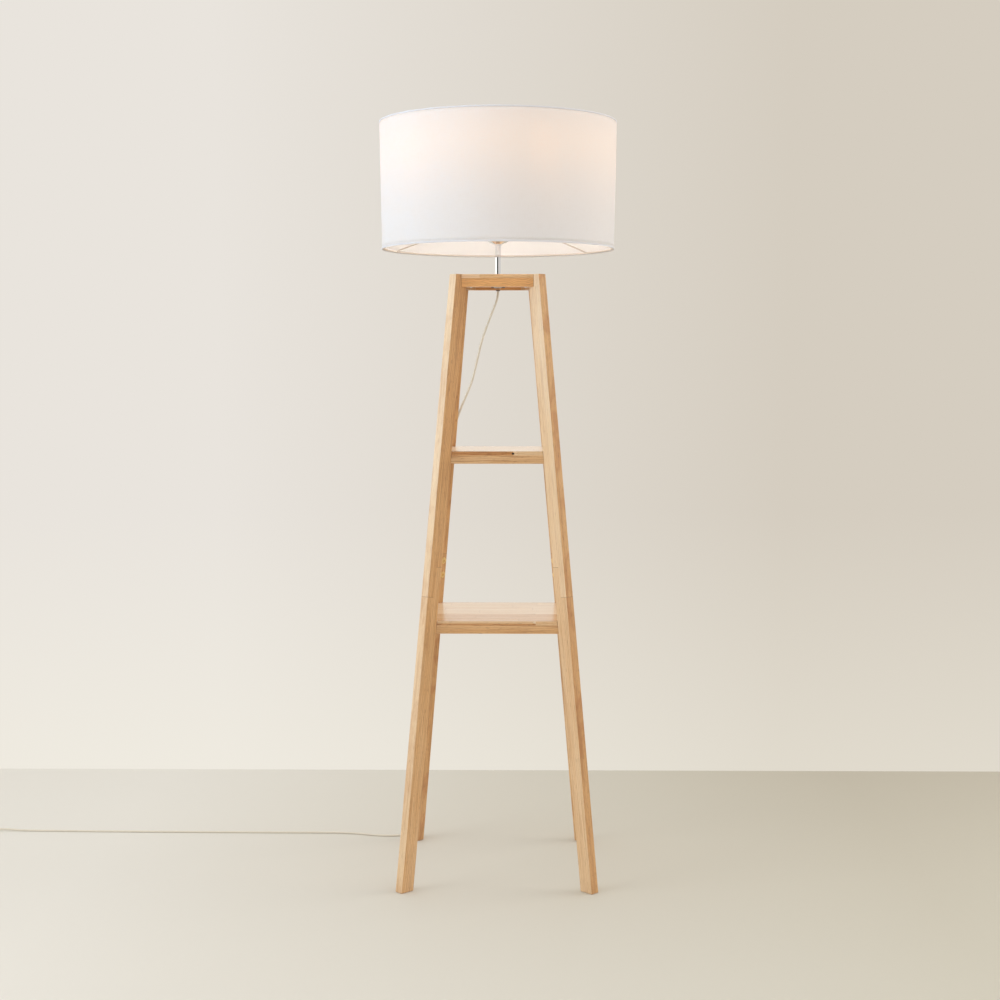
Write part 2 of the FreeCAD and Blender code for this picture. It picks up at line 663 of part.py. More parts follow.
def spider():
    """Flat hub with three wire arms that drop to the lower ring."""
    z = HUB_Z + HUB_THICK / 2
    hub = pipe(HUB_D, SKIRT_THREAD_D + 2 * LOOSE_GAP, HUB_Z, HUB_Z + HUB_THICK)
    ring_r = ring_wire_centre(LOWER_WIRE_Z)
    hub_edge = HUB_D / 2
    knee = Vec(ring_r - ARM_FOOT, 0, LOWER_WIRE_Z + ARM_FOOT_RISE)
    path, _ = rounded_path([Vec(hub_edge - ARM_D / 2, 0, z), Vec(hub_edge + ARM_D, 0, z),
                            knee, Vec(ring_r, 0, LOWER_WIRE_Z)], CORNER_SHARE)
    arm = swept(path, ARM_D)
    for k in range(ARM_COUNT):
        azimuth = ARM_FIRST_AZIMUTH + k * 360 / ARM_COUNT
        hub = hub.fuse(turned(arm, azimuth))
    return hub.cut(ring_wire(LOWER_WIRE_Z))


def washer():
    return pipe(WASHER_D, SKIRT_THREAD_D + 2 * LOOSE_GAP, WASHER_Z, WASHER_Z + WASHER_THICK)


def clamp_ring():
    """Round nut with finger grips cut in its edge."""
    top_z = CLAMP_RING_Z + CLAMP_RING_HEIGHT
    ring = pipe(CLAMP_RING_D, SKIRT_THREAD_D + 2 * RUNNING_GAP, CLAMP_RING_Z, top_z)
    for k in range(CLAMP_RING_GRIPS):
        angle = math.radians(360 * k / CLAMP_RING_GRIPS)
        ring = ring.cut(cylinder(CLAMP_GRIP_D, CLAMP_RING_Z, top_z,
                                 CLAMP_RING_D / 2 * math.cos(angle),
                                 CLAMP_RING_D / 2 * math.sin(angle)))
    return ring


# ---------------------------------------------------------------- cord
def route(points):
    return [Vec(*p) for p in points]


def cord_piece(points, label):
    """Tube along a hand-chosen route; prints its radii and its volume check."""
    wire, radii = rounded_path(points, CORNER_SHARE)
    tube = swept(wire, CORD_D)
    share = tube.Volume / (math.pi * CORD_R ** 2 * wire.Length)
    print(label, "length %.1f" % wire.Length, "volume share %.4f" % share,
          "radii", " ".join("%.0f" % r for r in radii))
    return tube


def biarc(start, start_dir, end, end_dir):
    """Two arcs that join two points with given directions, in space."""
    gap = end - start
    both = start_dir + end_dir
    a = both.dot(both) - 4.0
    b = -2.0 * gap.dot(both)
    c = gap.dot(gap)
    if abs(a) < TOUCH * TOUCH:
        reach = -c / b
    else:
        reach = (-b - math.sqrt(b * b - 4 * a * c)) / (2 * a)
    first, second = start + start_dir * reach, end - end_dir * reach
    joint = (first + second) * 0.5
    return [arc_from(start, first, joint), arc_from(joint, second, end)]


def arc_from(start, apex, end):
    """Arc that touches the lines start-apex and apex-end."""
    middle = (start + end) * 0.5
    half_chord = (end - start).Length / 2
    rise = (apex - middle).Length
    half_turn = math.atan2(rise, half_chord)
    sagitta = half_chord * math.tan(half_turn / 2)
    return Part.Arc(start, middle + (apex - middle).normalize() * sagitta, end).toShape()


def coil_points():
    """Where each half turn starts, and its direction. The radius falls by half a step
    each half turn on the lower layer, the smallest half turn climbs, and the radius
    grows again on the upper layer."""
    start = Vec(*TAIL_ROUTE[-1])
    side, y, z = 1, start.y, start.z
    places = [(Vec(start), Vec(-1, 0, 0))]
    inward = [COIL_RADIUS - k * COIL_STEP / 2 for k in range(COIL_HALF_TURNS + 1)]
    radii = inward + inward[-2::-1]
    for k, radius in enumerate(radii):
        y -= side * 2 * radius
        side = -side
        if k == COIL_HALF_TURNS:
            z += COIL_STEP
        places.append((Vec(start.x, y, z), Vec(-side, 0, 0)))
    return places


def coil():
    """Neat coil of two layers, one unbroken tube, with a straight end each side."""
    places = coil_points()
    edges = []
    for (p, d), (q, e) in zip(places, places[1:]):
        edges += biarc(p, d, q, e)
    end, direction = places[-1]
    edges.append(Part.LineSegment(end, end + direction * COIL_LEAD).toShape())
    wire = Part.Wire(edges)
    tube = swept(wire, CORD_D)
    share = tube.Volume / (math.pi * CORD_R ** 2 * wire.Length)
    print("coil length %.1f" % wire.Length, "volume share %.4f" % share,
          "least gap to itself %.2f" % least_gap(wire))
    return tube


def least_gap(wire):
    """Smallest distance between stretches of the coil that aren't neighbours."""
    points = wire.discretize(Distance=COIL_SAMPLE)
    skip = int(COIL_APART / COIL_SAMPLE)
    gap = min((p - q).Length for i, p in enumerate(points) for q in points[i + skip:])
    return gap - CORD_D


def cord_clip(z):
    """Nailed saddle on the leg's hidden face, drawn with the leg's plane on +X."""
    s = z / math.cos(LEAN)
    cord_y = -(LEG_THICK / 2 + CLIP_BASE + CORD_R)
    far_y = cord_y - CORD_R - CLIP_WALL
    low, side = -CORD_R - CLIP_WALL, CLIP_NAIL_SIDE + CLIP_NAIL_HEAD_D / 2
    body = box(low, side + CLIP_NAIL_LAND, far_y, -LEG_THICK / 2, -CLIP_LONG / 2, CLIP_LONG / 2)
    edges = [e for e in body.Edges if e.BoundBox.YMax < far_y + TOUCH]
    body = body.makeFillet(CLIP_EDGE, edges)
    body = body.cut(Part.makeCylinder(CORD_R + CLIP_GAP, CLIP_LONG,
                                      Vec(0, cord_y, -CLIP_LONG / 2), UP))
    nail = clip_nail()
    body = body.cut(nail)
    return place_on_leg(body, s), place_on_leg(nail, s)


def clip_nail():
    far_y = -(LEG_THICK / 2 + CLIP_BASE + CORD_D + CLIP_WALL)
    shank = Part.makeCylinder(CLIP_NAIL_D / 2, -LEG_THICK / 2 + CLIP_NAIL_GRIP - far_y,
                              Vec(CLIP_NAIL_SIDE, far_y, 0), Vec(0, 1, 0))
    head = Part.makeCylinder(CLIP_NAIL_HEAD_D / 2, CLIP_NAIL_HEAD,
                             Vec(CLIP_NAIL_SIDE, far_y - CLIP_NAIL_HEAD, 0), Vec(0, 1, 0))
    return head.fuse(shank).removeSplitter()


def place_on_leg(shape, s):
    """Stand a shape made round the origin on the leg's axis, s up from the floor."""
    placed = shape.copy()
    placed.rotate(ORIGIN, Vec(0, 1, 0), -math.degrees(LEAN))
    placed.translate(along_leg(s, 0))
    return turned(placed, LEG_AZIMUTHS[CORD_LEG])


# ---------------------------------------------------------------- floor switch
def slab(length, width, z0, z1):
    """Rounded bar, lying along X with its middle at the origin."""
    reach = (length - width) / 2
    bar = box(-reach, reach, -width / 2, width / 2, z0, z1)
    for x in (-reach, reach):
        bar = bar.fuse(cylinder(width, z0, z1, x))
    return bar.removeSplitter()


def relief(direction):
    """Tapered strain relief at one end of the switch."""
    root = SWITCH_LONG / 2 - SWITCH_WALL / 2
    return Part.makeCone(RELIEF_ROOT_D / 2, RELIEF_TIP_D / 2,
                         SWITCH_LONG / 2 + RELIEF_LONG - root,
                         Vec(direction * root, 0, SWITCH_START.z), Vec(direction, 0, 0))


def switch_parts():
    """Base, cover and button of the floor switch, in place on the cord."""
    middle = Vec(SWITCH_START.x - RELIEF_LONG - SWITCH_LONG / 2, SWITCH_START.y, 0)
    top_z = SWITCH_BASE_HEIGHT + SWITCH_COVER_HEIGHT
    inner_long, inner_wide = SWITCH_LONG - 2 * SWITCH_WALL, SWITCH_WIDE - 2 * SWITCH_WALL
    reliefs = [relief(1), relief(-1)]
    base = slab(SWITCH_LONG, SWITCH_WIDE, 0, SWITCH_BASE_HEIGHT)
    base = base.cut(slab(inner_long, inner_wide, SWITCH_WALL, SWITCH_BASE_HEIGHT))
    cover = slab(SWITCH_LONG, SWITCH_WIDE, SWITCH_BASE_HEIGHT, top_z)
    rim = [e for e in cover.Edges if e.BoundBox.ZMin > top_z - TOUCH]
    cover = cover.makeFillet(SWITCH_EDGE, rim)
    cover = cover.cut(slab(inner_long, inner_wide, SWITCH_BASE_HEIGHT,
                           top_z - SWITCH_WALL))
    cover = cover.cut(cylinder(BUTTON_D + 2 * BUTTON_GAP, SWITCH_BASE_HEIGHT, top_z))
    flange_top = top_z - SWITCH_WALL - BUTTON_GAP
    button = cylinder(BUTTON_D, flange_top - BUTTON_FLANGE, top_z + BUTTON_PROUD)
    crown = [e for e in button.Edges if e.BoundBox.ZMin > top_z + BUTTON_PROUD - TOUCH]
    button = button.makeFillet(BUTTON_EDGE, crown)
    button = button.fuse(cylinder(BUTTON_FLANGE_D, flange_top - BUTTON_FLANGE,
                                  flange_top)).removeSplitter()
    for cone in reliefs:
        base = base.fuse(cone)
    pieces = {"floor_switch_base": base.removeSplitter(),
              "floor_switch_cover": cut_all(cover, reliefs),
              "floor_switch_button": button}
    for piece in pieces.values():
        piece.translate(middle)
    return pieces


# ---------------------------------------------------------------- plug
def plug_parts():
    """Flat two-pin plug with a tapered tail, drawn along +X from the cord's end."""
    end, direction = coil_points()[-1]
    place = end + direction * COIL_LEAD
    rear, front = PLUG_TAIL_LONG, PLUG_TAIL_LONG + PLUG_LONG
    outline = [(rear, PLUG_REAR_WIDE), (rear + PLUG_SHOULDER, PLUG_WIDE),
               (front - PLUG_NARROWING, PLUG_WIDE), (front, PLUG_FRONT_WIDE)]
    left = [Vec(x, w / 2, -PLUG_THICK / 2) for x, w in outline]
    right = [Vec(x, -w / 2, -PLUG_THICK / 2) for x, w in reversed(outline)]
    body = prism(left + right, Vec(0, 0, PLUG_THICK))
    body = body.makeFillet(PLUG_EDGE, body.Edges)
    tail = Part.makeCone(PLUG_TAIL_TIP_D / 2, PLUG_TAIL_D / 2,
                         PLUG_TAIL_LONG + PLUG_EDGE, ORIGIN, Vec(1, 0, 0))
    body = body.fuse(tail).removeSplitter()
    pins = []
    for y in (-PIN_PITCH / 2, PIN_PITCH / 2):
        sleeve = Part.makeCylinder(PIN_D / 2, PIN_SLEEVE_LONG, Vec(front, y, 0),
                                   Vec(1, 0, 0))
        core = Part.makeCylinder(PIN_CORE_D / 2, PIN_ROOT + PIN_SLEEVE_LONG,
                                 Vec(front - PIN_ROOT, y, 0), Vec(1, 0, 0))
        tip = Part.makeCylinder(PIN_D / 2, PIN_LONG - PIN_SLEEVE_LONG,
                                Vec(front + PIN_SLEEVE_LONG, y, 0), Vec(1, 0, 0))
        nose = [e for e in tip.Edges if e.BoundBox.XMin > front + PIN_LONG - TOUCH]
        tip = tip.makeChamfer(PIN_NOSE, nose)
        body = body.fuse(sleeve).removeSplitter()
        pins.append(core.fuse(tip).removeSplitter())
    body = cut_all(body, pins)
    pieces = {"plug_body": body, "plug_pins": group(pins)}
    for piece in pieces.values():
        piece.translate(place)
    return pieces


# ---------------------------------------------------------------- assembly
def build_frame():
    """Legs, tiers and what fastens them."""
    cutters = [turned(plain_leg(), a) for a in LEG_AZIMUTHS.values()]
    screws = tier("top", LEG_TOP_Z, tier_half(LEG_TOP_Z, True), cutters)
    screws += tier("upper_shelf", UPPER_SHELF_Z, tier_half(UPPER_SHELF_Z, False), cutters)
    screws += tier("lower_shelf", LOWER_SHELF_Z, tier_half(LOWER_SHELF_Z, False), cutters)
    add("leg_screws", group(screws))
    bolts, inserts = [], []
    nails = [cord_clip(z)[1] for z in CLIP_HEIGHTS]
    for corner, azimuth in LEG_AZIMUTHS.items():
        own_bolts = [turned(lap_bolt(s), azimuth) for s in lap_places()]
        own_inserts = [turned(lap_insert(s), azimuth) for s in lap_places()]
        holes = own_bolts + own_inserts + screws
        if corner == CORD_LEG:
            holes = holes + nails
        add("leg_upper_" + corner, cut_all(turned(upper_leg(), azimuth), holes))
        add("leg_lower_" + corner, cut_all(turned(lower_leg(), azimuth), holes))
        bolts += own_bolts
        inserts += own_inserts
    add("lap_bolts", group(bolts))
    add("lap_inserts", group(inserts))


def build_stem():
    """Crossbar, tube, flange, nut, cord grip, collar and dish."""
    inner = tier_half(LEG_TOP_Z, True) - RAIL_THICK
    screws = [flange_screw(x) for x in (-FLANGE_SCREW_PITCH / 2, FLANGE_SCREW_PITCH / 2)]
    hole = cylinder(STEM_D + 2 * STEM_HOLE_GAP, TOP_UNDER_Z, LEG_TOP_Z)
    bar = box(-inner, inner, -CROSSBAR_WIDE / 2, CROSSBAR_WIDE / 2,
              CROSSBAR_UNDER_Z, PANEL_UNDER_Z)
    add("stem_crossbar", cut_all(bar, [hole] + screws))
    nodes["top_panel"] = nodes["top_panel"].cut(hole)
    add("stem_tube", stem_tube())
    add("stem_flange", stem_flange(screws))
    add("stem_flange_screws", group(screws))
    nut = hexagon(LOCKNUT_FLATS, FLANGE_UNDER_Z - LOCKNUT_THICK, FLANGE_UNDER_Z)
    add("stem_locknut", nut.cut(cylinder(STEM_THREAD_D, STEM_END_Z, CROSSBAR_UNDER_Z)))
    grip = cylinder(STEM_BORE_D, STEM_END_Z, STEM_END_Z + GRIP_LENGTH)
    lip = cylinder(GRIP_LIP_D, STEM_END_Z - GRIP_LIP_THICK, STEM_END_Z)
    add("stem_cord_grip", grip.fuse(lip).removeSplitter())
    add("stem_collar", pipe(COLLAR_D, STEM_D, COLLAR_Z, DISH_Z))
    add("holder_dish", holder_dish())


def build_lampholder():
    add("lampholder_base", holder_base())
    add("lampholder_skirt", holder_skirt())
    add("lampholder_insert", holder_insert())
    add("lampholder_screw_shell", socket_shell())
    add("bulb_cap", bulb_cap())
    add("bulb_globe", bulb_globe())
    add("shade_washer", washer())
    add("shade_clamp_ring", clamp_ring())


def build_shade():
    add("shade_fabric", drum_layer(0, FABRIC_THICK, SHADE_Z, SHADE_TOP_Z))
    add("shade_lining", drum_layer(FABRIC_THICK, WALL, SHADE_Z, SHADE_TOP_Z))
    add("shade_bindings", group([binding(SHADE_Z, 1), binding(SHADE_TOP_Z, -1)]))
    add("shade_lower_ring", ring_wire(LOWER_WIRE_Z))
    add("shade_upper_ring", ring_wire(UPPER_WIRE_Z))
    add("shade_spider", spider())


def build_cord():
    add("cord_clips", group([part for z in CLIP_HEIGHTS for part in cord_clip(z)]))
    add("cord_main", cord_piece(route(CORD_ROUTE), "cord_main"))
    add("cord_tail", cord_piece(route(TAIL_ROUTE), "cord_tail"))
    add("cord_coil", coil())
    for name, shape in {**switch_parts(), **plug_parts()}.items():
        add(name, shape)


build_frame()
build_stem()
build_lampholder()
build_shade()
build_cord()
os.makedirs("parts", exist_ok=True)
for node, solid in nodes.items():
    solid.exportStep("parts/" + node + ".step")
print(len(nodes), "nodes")
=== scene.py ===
"""Shelf floor lamp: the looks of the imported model, its cord, its cloth and its light.
Metres, +Z up, +Y to the back, origin on the floor under the stem."""
import math

import bmesh
import bpy
import numpy as np
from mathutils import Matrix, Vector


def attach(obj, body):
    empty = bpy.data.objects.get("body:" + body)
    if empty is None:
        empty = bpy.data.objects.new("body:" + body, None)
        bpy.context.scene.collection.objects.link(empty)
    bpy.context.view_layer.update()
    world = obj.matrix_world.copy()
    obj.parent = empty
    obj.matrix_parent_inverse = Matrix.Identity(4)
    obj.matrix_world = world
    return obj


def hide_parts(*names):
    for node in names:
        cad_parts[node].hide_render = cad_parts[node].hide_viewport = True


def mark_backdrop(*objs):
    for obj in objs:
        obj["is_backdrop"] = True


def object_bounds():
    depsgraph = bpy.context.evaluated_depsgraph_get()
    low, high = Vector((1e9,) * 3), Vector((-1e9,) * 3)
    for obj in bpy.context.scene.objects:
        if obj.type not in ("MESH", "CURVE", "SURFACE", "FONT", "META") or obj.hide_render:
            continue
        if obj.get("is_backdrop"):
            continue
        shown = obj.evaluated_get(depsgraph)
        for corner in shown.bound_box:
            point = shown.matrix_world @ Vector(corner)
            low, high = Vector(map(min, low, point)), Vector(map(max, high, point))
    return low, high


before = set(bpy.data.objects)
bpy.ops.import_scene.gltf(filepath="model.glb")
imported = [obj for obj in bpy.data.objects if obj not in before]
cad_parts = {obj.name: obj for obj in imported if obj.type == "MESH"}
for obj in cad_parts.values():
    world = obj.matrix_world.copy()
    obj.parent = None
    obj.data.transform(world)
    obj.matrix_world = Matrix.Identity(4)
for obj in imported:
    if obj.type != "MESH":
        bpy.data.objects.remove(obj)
cad_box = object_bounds()
scene = bpy.context.scene
TAU = 2 * math.pi


# ------------------------------------------------------------------ camera
CAMERA_REACH = 3.569        # from the stem, level
CAMERA_HEIGHT = 1.0856
CAMERA_SWING = 0.7          # degrees, round to the right
CAMERA_TILT = 4.61          # degrees, down
FOCAL_LENGTH, SENSOR = 60.09, 36.0
SHIFT = 0.002               # of the picture's width


def set_camera():
    """The photograph's camera. The shift puts the stem two pixels left of the middle."""
    lens = bpy.data.cameras.new("camera")
    lens.lens, lens.sensor_width, lens.shift_x = FOCAL_LENGTH, SENSOR, SHIFT
    eye = bpy.data.objects.new("camera", lens)
    swing = math.radians(CAMERA_SWING)
    eye.location = (CAMERA_REACH * math.sin(swing), -CAMERA_REACH * math.cos(swing),
                    CAMERA_HEIGHT)
    eye.rotation_euler = (math.radians(90 - CAMERA_TILT), 0, swing)
    scene.collection.objects.link(eye)
    scene.camera = eye


set_camera()

# ------------------------------------------------------------------ cord
CORD_D = 0.0045
MAIN_ROUTE = (
    (0.0, 0.0, 1.243), (0.0, 0.0, 1.231), (-0.0088, 0.0056, 1.208),
    (-0.0234, 0.016, 1.172), (-0.0368, 0.031, 1.134), (-0.0466, 0.048, 1.092),
    (-0.0576, 0.068, 1.048), (-0.0844, 0.1028, 0.99), (-0.097, 0.1158, 0.95),
    (-0.1034, 0.1218, 0.91), (-0.1069, 0.1253, 0.87),
    (-0.1734, 0.1918, 0.1023), (-0.1762, 0.1946, 0.07), (-0.1796, 0.204, 0.039),
    (-0.191, 0.2154, 0.0126), (-0.213, 0.2186, 0.00225), (-0.245, 0.2124, 0.00225),
    (-0.282, 0.2142, 0.00225), (-0.322, 0.2288, 0.00225), (-0.372, 0.2366, 0.00225),
    (-0.4226, 0.2368, 0.00225), (-0.64, 0.2376, 0.00225), (-0.93, 0.2404, 0.00225),
    (-1.078, 0.24465, 0.00225), (-1.104, 0.2454, 0.00225), (-1.13, 0.2466, 0.0032),
    (-1.152, 0.247, 0.005), (-1.172, 0.247, 0.005),
)
TAIL_ROUTE = (
    (-1.268, 0.247, 0.005), (-1.285, 0.247, 0.005), (-1.307, 0.247, 0.00225),
)
COIL_X, COIL_Y = -1.33, 0.247
COIL_RADII = (0.03, 0.0275, 0.025, 0.0225, 0.025, 0.0275, 0.03)
COIL_CLIMB = 3              # the half turn that goes up to the second layer
COIL_LAYER = 0.005
COIL_LEAD = 0.02
COIL_ANGLES = tuple(range(15, 180, 30))     # of a half turn's control points, in degrees
COIL_DRAW_IN = 0.966        # the spline's radius over its control points'


def coil_points():
    """Half turns joined end to end, six points each. A point at angle a of a half turn of
    radius r lies r / COIL_DRAW_IN from its middle, which brings the spline itself to r.
    One half turn climbs a layer by the smooth step 3s^2 - 2s^3 of its share s."""
    points, y, side, z = [], COIL_Y, 1.0, CORD_D / 2
    for k, radius in enumerate(COIL_RADII):
        middle = y - side * radius
        for degrees in COIL_ANGLES:
            a = math.radians(degrees)
            share = degrees / 180
            lift = COIL_LAYER * (3 * share ** 2 - 2 * share ** 3) if k == COIL_CLIMB else 0
            points.append((COIL_X - side * radius / COIL_DRAW_IN * math.sin(a),
                           middle + side * radius / COIL_DRAW_IN * math.cos(a), z + lift))
        y -= side * 2 * radius
        side = -side
        z += COIL_LAYER if k == COIL_CLIMB else 0
    return points + [(COIL_X - side * COIL_LEAD, y, z)]


def round_cord(name, points):
    """Round flex along a smooth NURBS line with the given control points."""
    data = bpy.data.curves.new(name, "CURVE")
    data.dimensions = "3D"
    line = data.splines.new("NURBS")
    line.points.add(len(points) - 1)
    line.points.foreach_set("co", [c for p in points for c in (*p, 1.0)])
    line.order_u = 3
    line.use_endpoint_u = True
    line.resolution_u = 10
    data.bevel_depth = CORD_D / 2
    data.bevel_resolution = 5
    data.use_fill_caps = True
    cord = bpy.data.objects.new(name, data)
    scene.collection.objects.link(cord)
    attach(cord, "stand")
    return cord


main_cord = round_cord("flex_to_switch", MAIN_ROUTE)
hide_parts("cord_main")
tail_cord = round_cord("flex_to_plug", list(TAIL_ROUTE) + coil_points())
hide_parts("cord_tail", "cord_coil")


# ------------------------------------------------------------------ shader language
class Signal:
    """A node's output. Python's operators on it add Math nodes."""

    def __init__(self, finish, socket):
        self.finish, self.socket = finish, socket

    def calc(self, operation, *others, clamp=False):
        return self.finish.node("ShaderNodeMath",
                                {"operation": operation, "use_clamp": clamp},
                                dict(enumerate((self,) + others)))

    def __add__(self, other):
        return self.calc("ADD", other)

    __radd__ = __add__

    def __mul__(self, other):
        return self.calc("MULTIPLY", other)

    __rmul__ = __mul__

    def __sub__(self, other):
        return self.calc("SUBTRACT", other)

    def __rsub__(self, other):
        return (self * -1.0).calc("ADD", other)

    def __truediv__(self, other):
        return self.calc("DIVIDE", other)

    def floor(self):
        return self.calc("FLOOR")

    def fract(self):
        return self.calc("FRACT")

    def size(self):
        return self.calc("ABSOLUTE")

    def wave(self):
        return self.calc("SINE")

    def below(self, other):
        return self.calc("LESS_THAN", other)

    def above(self, other):
        return self.calc("GREATER_THAN", other)

    def least(self, other):
        return self.calc("MINIMUM", other)

    def most(self, other):
        return self.calc("MAXIMUM", other)

    def power(self, other):
        return self.calc("POWER", other)

    def held(self):
        return self.calc("ADD", 0.0, clamp=True)

    def edge(self, start, end):
        """0 at start and 1 at end, held between."""
        return ((self - start) / (end - start)).held()


class Finish:
    """A material, or the room's light, that is being made."""

    def __init__(self, name, room=False):
        kinds, self.output = ((bpy.data.worlds, "ShaderNodeOutputWorld") if room else
                              (bpy.data.materials, "ShaderNodeOutputMaterial"))
        self.owner = kinds.new(name)
        self.owner.use_nodes = True
        self.tree = self.owner.node_tree
        self.tree.nodes.clear()

    def node(self, kind, settings=None, sockets=None, out=0):
        """Adds a node: its settings first, then values or links for its sockets."""
        made = self.tree.nodes.new(kind)
        for key, value in (settings or {}).items():
            if key == "stops":
                ramp = made.color_ramp
                while len(ramp.elements) < len(value):
                    ramp.elements.new(1.0)
                for mark, (where, colour) in zip(ramp.elements, value):
                    mark.position, mark.color = where, colour
            else:
                setattr(made, key, value)
        for key, value in (sockets or {}).items():
            if isinstance(value, Signal):
                self.tree.links.new(value.socket, made.inputs[key])
            else:
                made.inputs[key].default_value = value
        return Signal(self, made.outputs[out]) if made.outputs else None

    def place(self):
        return self.node("ShaderNodeTexCoord", out="Object")

    def ray(self, kind):
        """1 for rays of one kind: Camera, Glossy or Transmission."""
        return self.node("ShaderNodeLightPath", out="Is " + kind + " Ray")

    def from_behind(self):
        return self.node("ShaderNodeNewGeometry", out="Backfacing")

    def dot(self, vector, axis):
        return self.node("ShaderNodeVectorMath", {"operation": "DOT_PRODUCT"},
                         {0: vector, 1: axis}, out="Value")

    def along(self, place, axis):
        """Millimetres along an axis."""
        return self.dot(place, tuple(1000 * c for c in axis))

    def triple(self, x, y, z):
        return self.node("ShaderNodeCombineXYZ", None, {0: x, 1: y, 2: z})

    def noise(self, place, scale=1.0, detail=2.0, rough=0.5, warp=0.0):
        return self.node("ShaderNodeTexNoise", {"noise_dimensions": "3D"},
                         {"Vector": place, "Scale": scale, "Detail": detail,
                          "Roughness": rough, "Distortion": warp})

    def chance(self, place):
        return self.node("ShaderNodeTexWhiteNoise", {"noise_dimensions": "3D"},
                         {"Vector": place})

    def ramp(self, value, *stops):
        return self.node("ShaderNodeValToRGB", {"stops": stops}, {0: value})

    def mix(self, share, a, b, blend="MIX"):
        return self.node("ShaderNodeMix", {"data_type": "RGBA", "blend_type": blend},
                         {0: share, 6: a, 7: b}, out=2)

    def bump(self, height, strength, depth):
        return self.node("ShaderNodeBump", None,
                         {"Height": height, "Strength": strength, "Distance": depth})

    def shell(self, **values):
        """Principled surface from values and links, by the sockets' names."""
        sockets = {key.replace("_", " "): value for key, value in values.items()}
        return self.node("ShaderNodeBsdfPrincipled", None, sockets)

    def blend(self, share, first, second):
        return self.node("ShaderNodeMixShader", None, {0: share, 1: first, 2: second})

    def done(self, surface):
        self.node(self.output, None, {"Surface": surface})
        return self.owner


def tint(red, green, blue, alpha=1.0):
    """A colour given as it looks on a screen, 0 to 255, made linear."""
    def line(c):
        c /= 255
        return c / 12.92 if c <= 0.04045 else ((c + 0.055) / 1.055) ** 2.4
    return (line(red), line(green), line(blue), alpha)


# ------------------------------------------------------------------ wood
CREAM = tint(246, 230, 208)
PALE = tint(236, 208, 170)
HONEY = tint(220, 174, 120)
AMBER = tint(200, 144, 88)
BROWN = tint(176, 122, 72)
UMBER = tint(128, 82, 46)
PAINTED_HOLE_SHADE = tint(46, 26, 18)
FLAME = tint(240, 178, 106)
X, Y, Z = (1.0, 0.0, 0.0), (0.0, 1.0, 0.0), (0.0, 0.0, 1.0)

# a leg's section, the distances of its axis from the stem's, in millimetres, and its lean
LEG_THICK, LEG_HALF = 20.0, 16.0
LEG_FOOT_R, LEG_TOP_R, LEG_TOP_Z = 191.5 * math.sqrt(2), 81.0 * math.sqrt(2), 1274.0
LEAN = math.atan2(LEG_FOOT_R - LEG_TOP_R, LEG_TOP_Z)
OUTER_FACE = LEG_FOOT_R * math.cos(LEAN) + LEG_HALF
OUTER_LAMELLA = 0.7         # depth of the face whose tone is set apart, partly as painted light
STAVE_WIDE, STAVE_LONG = 38.0, 190.0
STAVE_TONES = (0.1, 0.55)
FINGER_PITCH, FINGER_DEPTH = 4.2, 5.0
PANEL_ARRIS, RAIL_ARRIS, BLOCK_ARRIS, CROSSBAR_ARRIS = 0.0008, 0.0007, 0.0005, 0.0006
LAP_ENDS = {"upper_": 607.0, "lower_": 670.0}
CORNERS = {"front_left": -135, "front_right": -45, "rear_left": 135, "rear_right": 45}


def cross(a, b):
    return tuple(float(c) for c in np.cross(a, b))


def grained(f, u, v, w, tone, shift, wavy=0.0):
    """Colour, relief and roughness of light, fine-pored hardwood. u runs along the grain,
    in millimetres. Growth rings are circles round a pith off to one side, drawn by a sine
    of the distance to it and bent by noise. Broad streaks, brown fibre lines, flecks and
    short pores are noise drawn out along the grain, each finer than the one before, and
    the whole board drifts between paler and darker."""
    drift = f.noise(f.triple(u * 0.004 + shift * 13.0, v * 0.05, w * 0.05), 1.0, 2.0)
    bend = f.noise(f.triple(u * 0.012 + shift * 29.0, v * 0.02, w * 0.02), 1.0, 3.0)
    ripple = bend * (14.0 + 40.0 * wavy)
    pith_v = v + 22.0 + shift * 9.0 + u * 0.012
    pith_w = w - 34.0 + shift * 7.0
    rings = ((pith_v * pith_v + pith_w * pith_w).power(0.5) * 1.35 + ripple).wave()
    rings = (rings * 0.5 + 0.5).power(4.0)
    streak = f.noise(f.triple(u * 0.009 + shift * 31.0, v * 0.24 + ripple * 0.03,
                              w * 0.24), 1.0, 3.0, 0.6).edge(0.50, 0.62)
    fibre = f.noise(f.triple(u * 0.022 + shift * 50.0, v * 0.85 + ripple * 0.05,
                             w * 0.85), 1.0, 4.0, 0.62).edge(0.53, 0.68)
    fleck = f.noise(f.triple(u * 0.07 + shift * 70.0, v * 0.62, w * 0.62), 1.0, 1.0,
                    0.5).edge(0.64, 0.72)
    pores = f.noise(f.triple(u * 0.13 + shift * 90.0, v * 2.4, w * 2.4), 1.0, 2.0,
                    0.5).edge(0.58, 0.70)
    body = f.ramp(tone + (drift - 0.5) * 0.4,
                  (0.0, CREAM), (0.3, PALE), (0.65, HONEY), (1.0, AMBER))
    body = f.mix(0.8 * wavy, body, FLAME)
    force = tone * 0.95 + 0.08
    colour = f.mix(rings * force * (0.5 + 0.4 * wavy), body, AMBER, "MULTIPLY")
    colour = f.mix(streak * force * (0.65 + 0.2 * wavy), colour, BROWN)
    colour = f.mix(fibre * force * (0.5 + 0.2 * wavy), colour, UMBER)
    colour = f.mix((fleck * 0.6 + pores * 0.35) * force, colour, UMBER)
    relief = fibre * -0.5 - pores * 0.6 - fleck * 0.4 - rings * 0.2
    return colour, relief, fibre * 0.1 + pores * 0.12


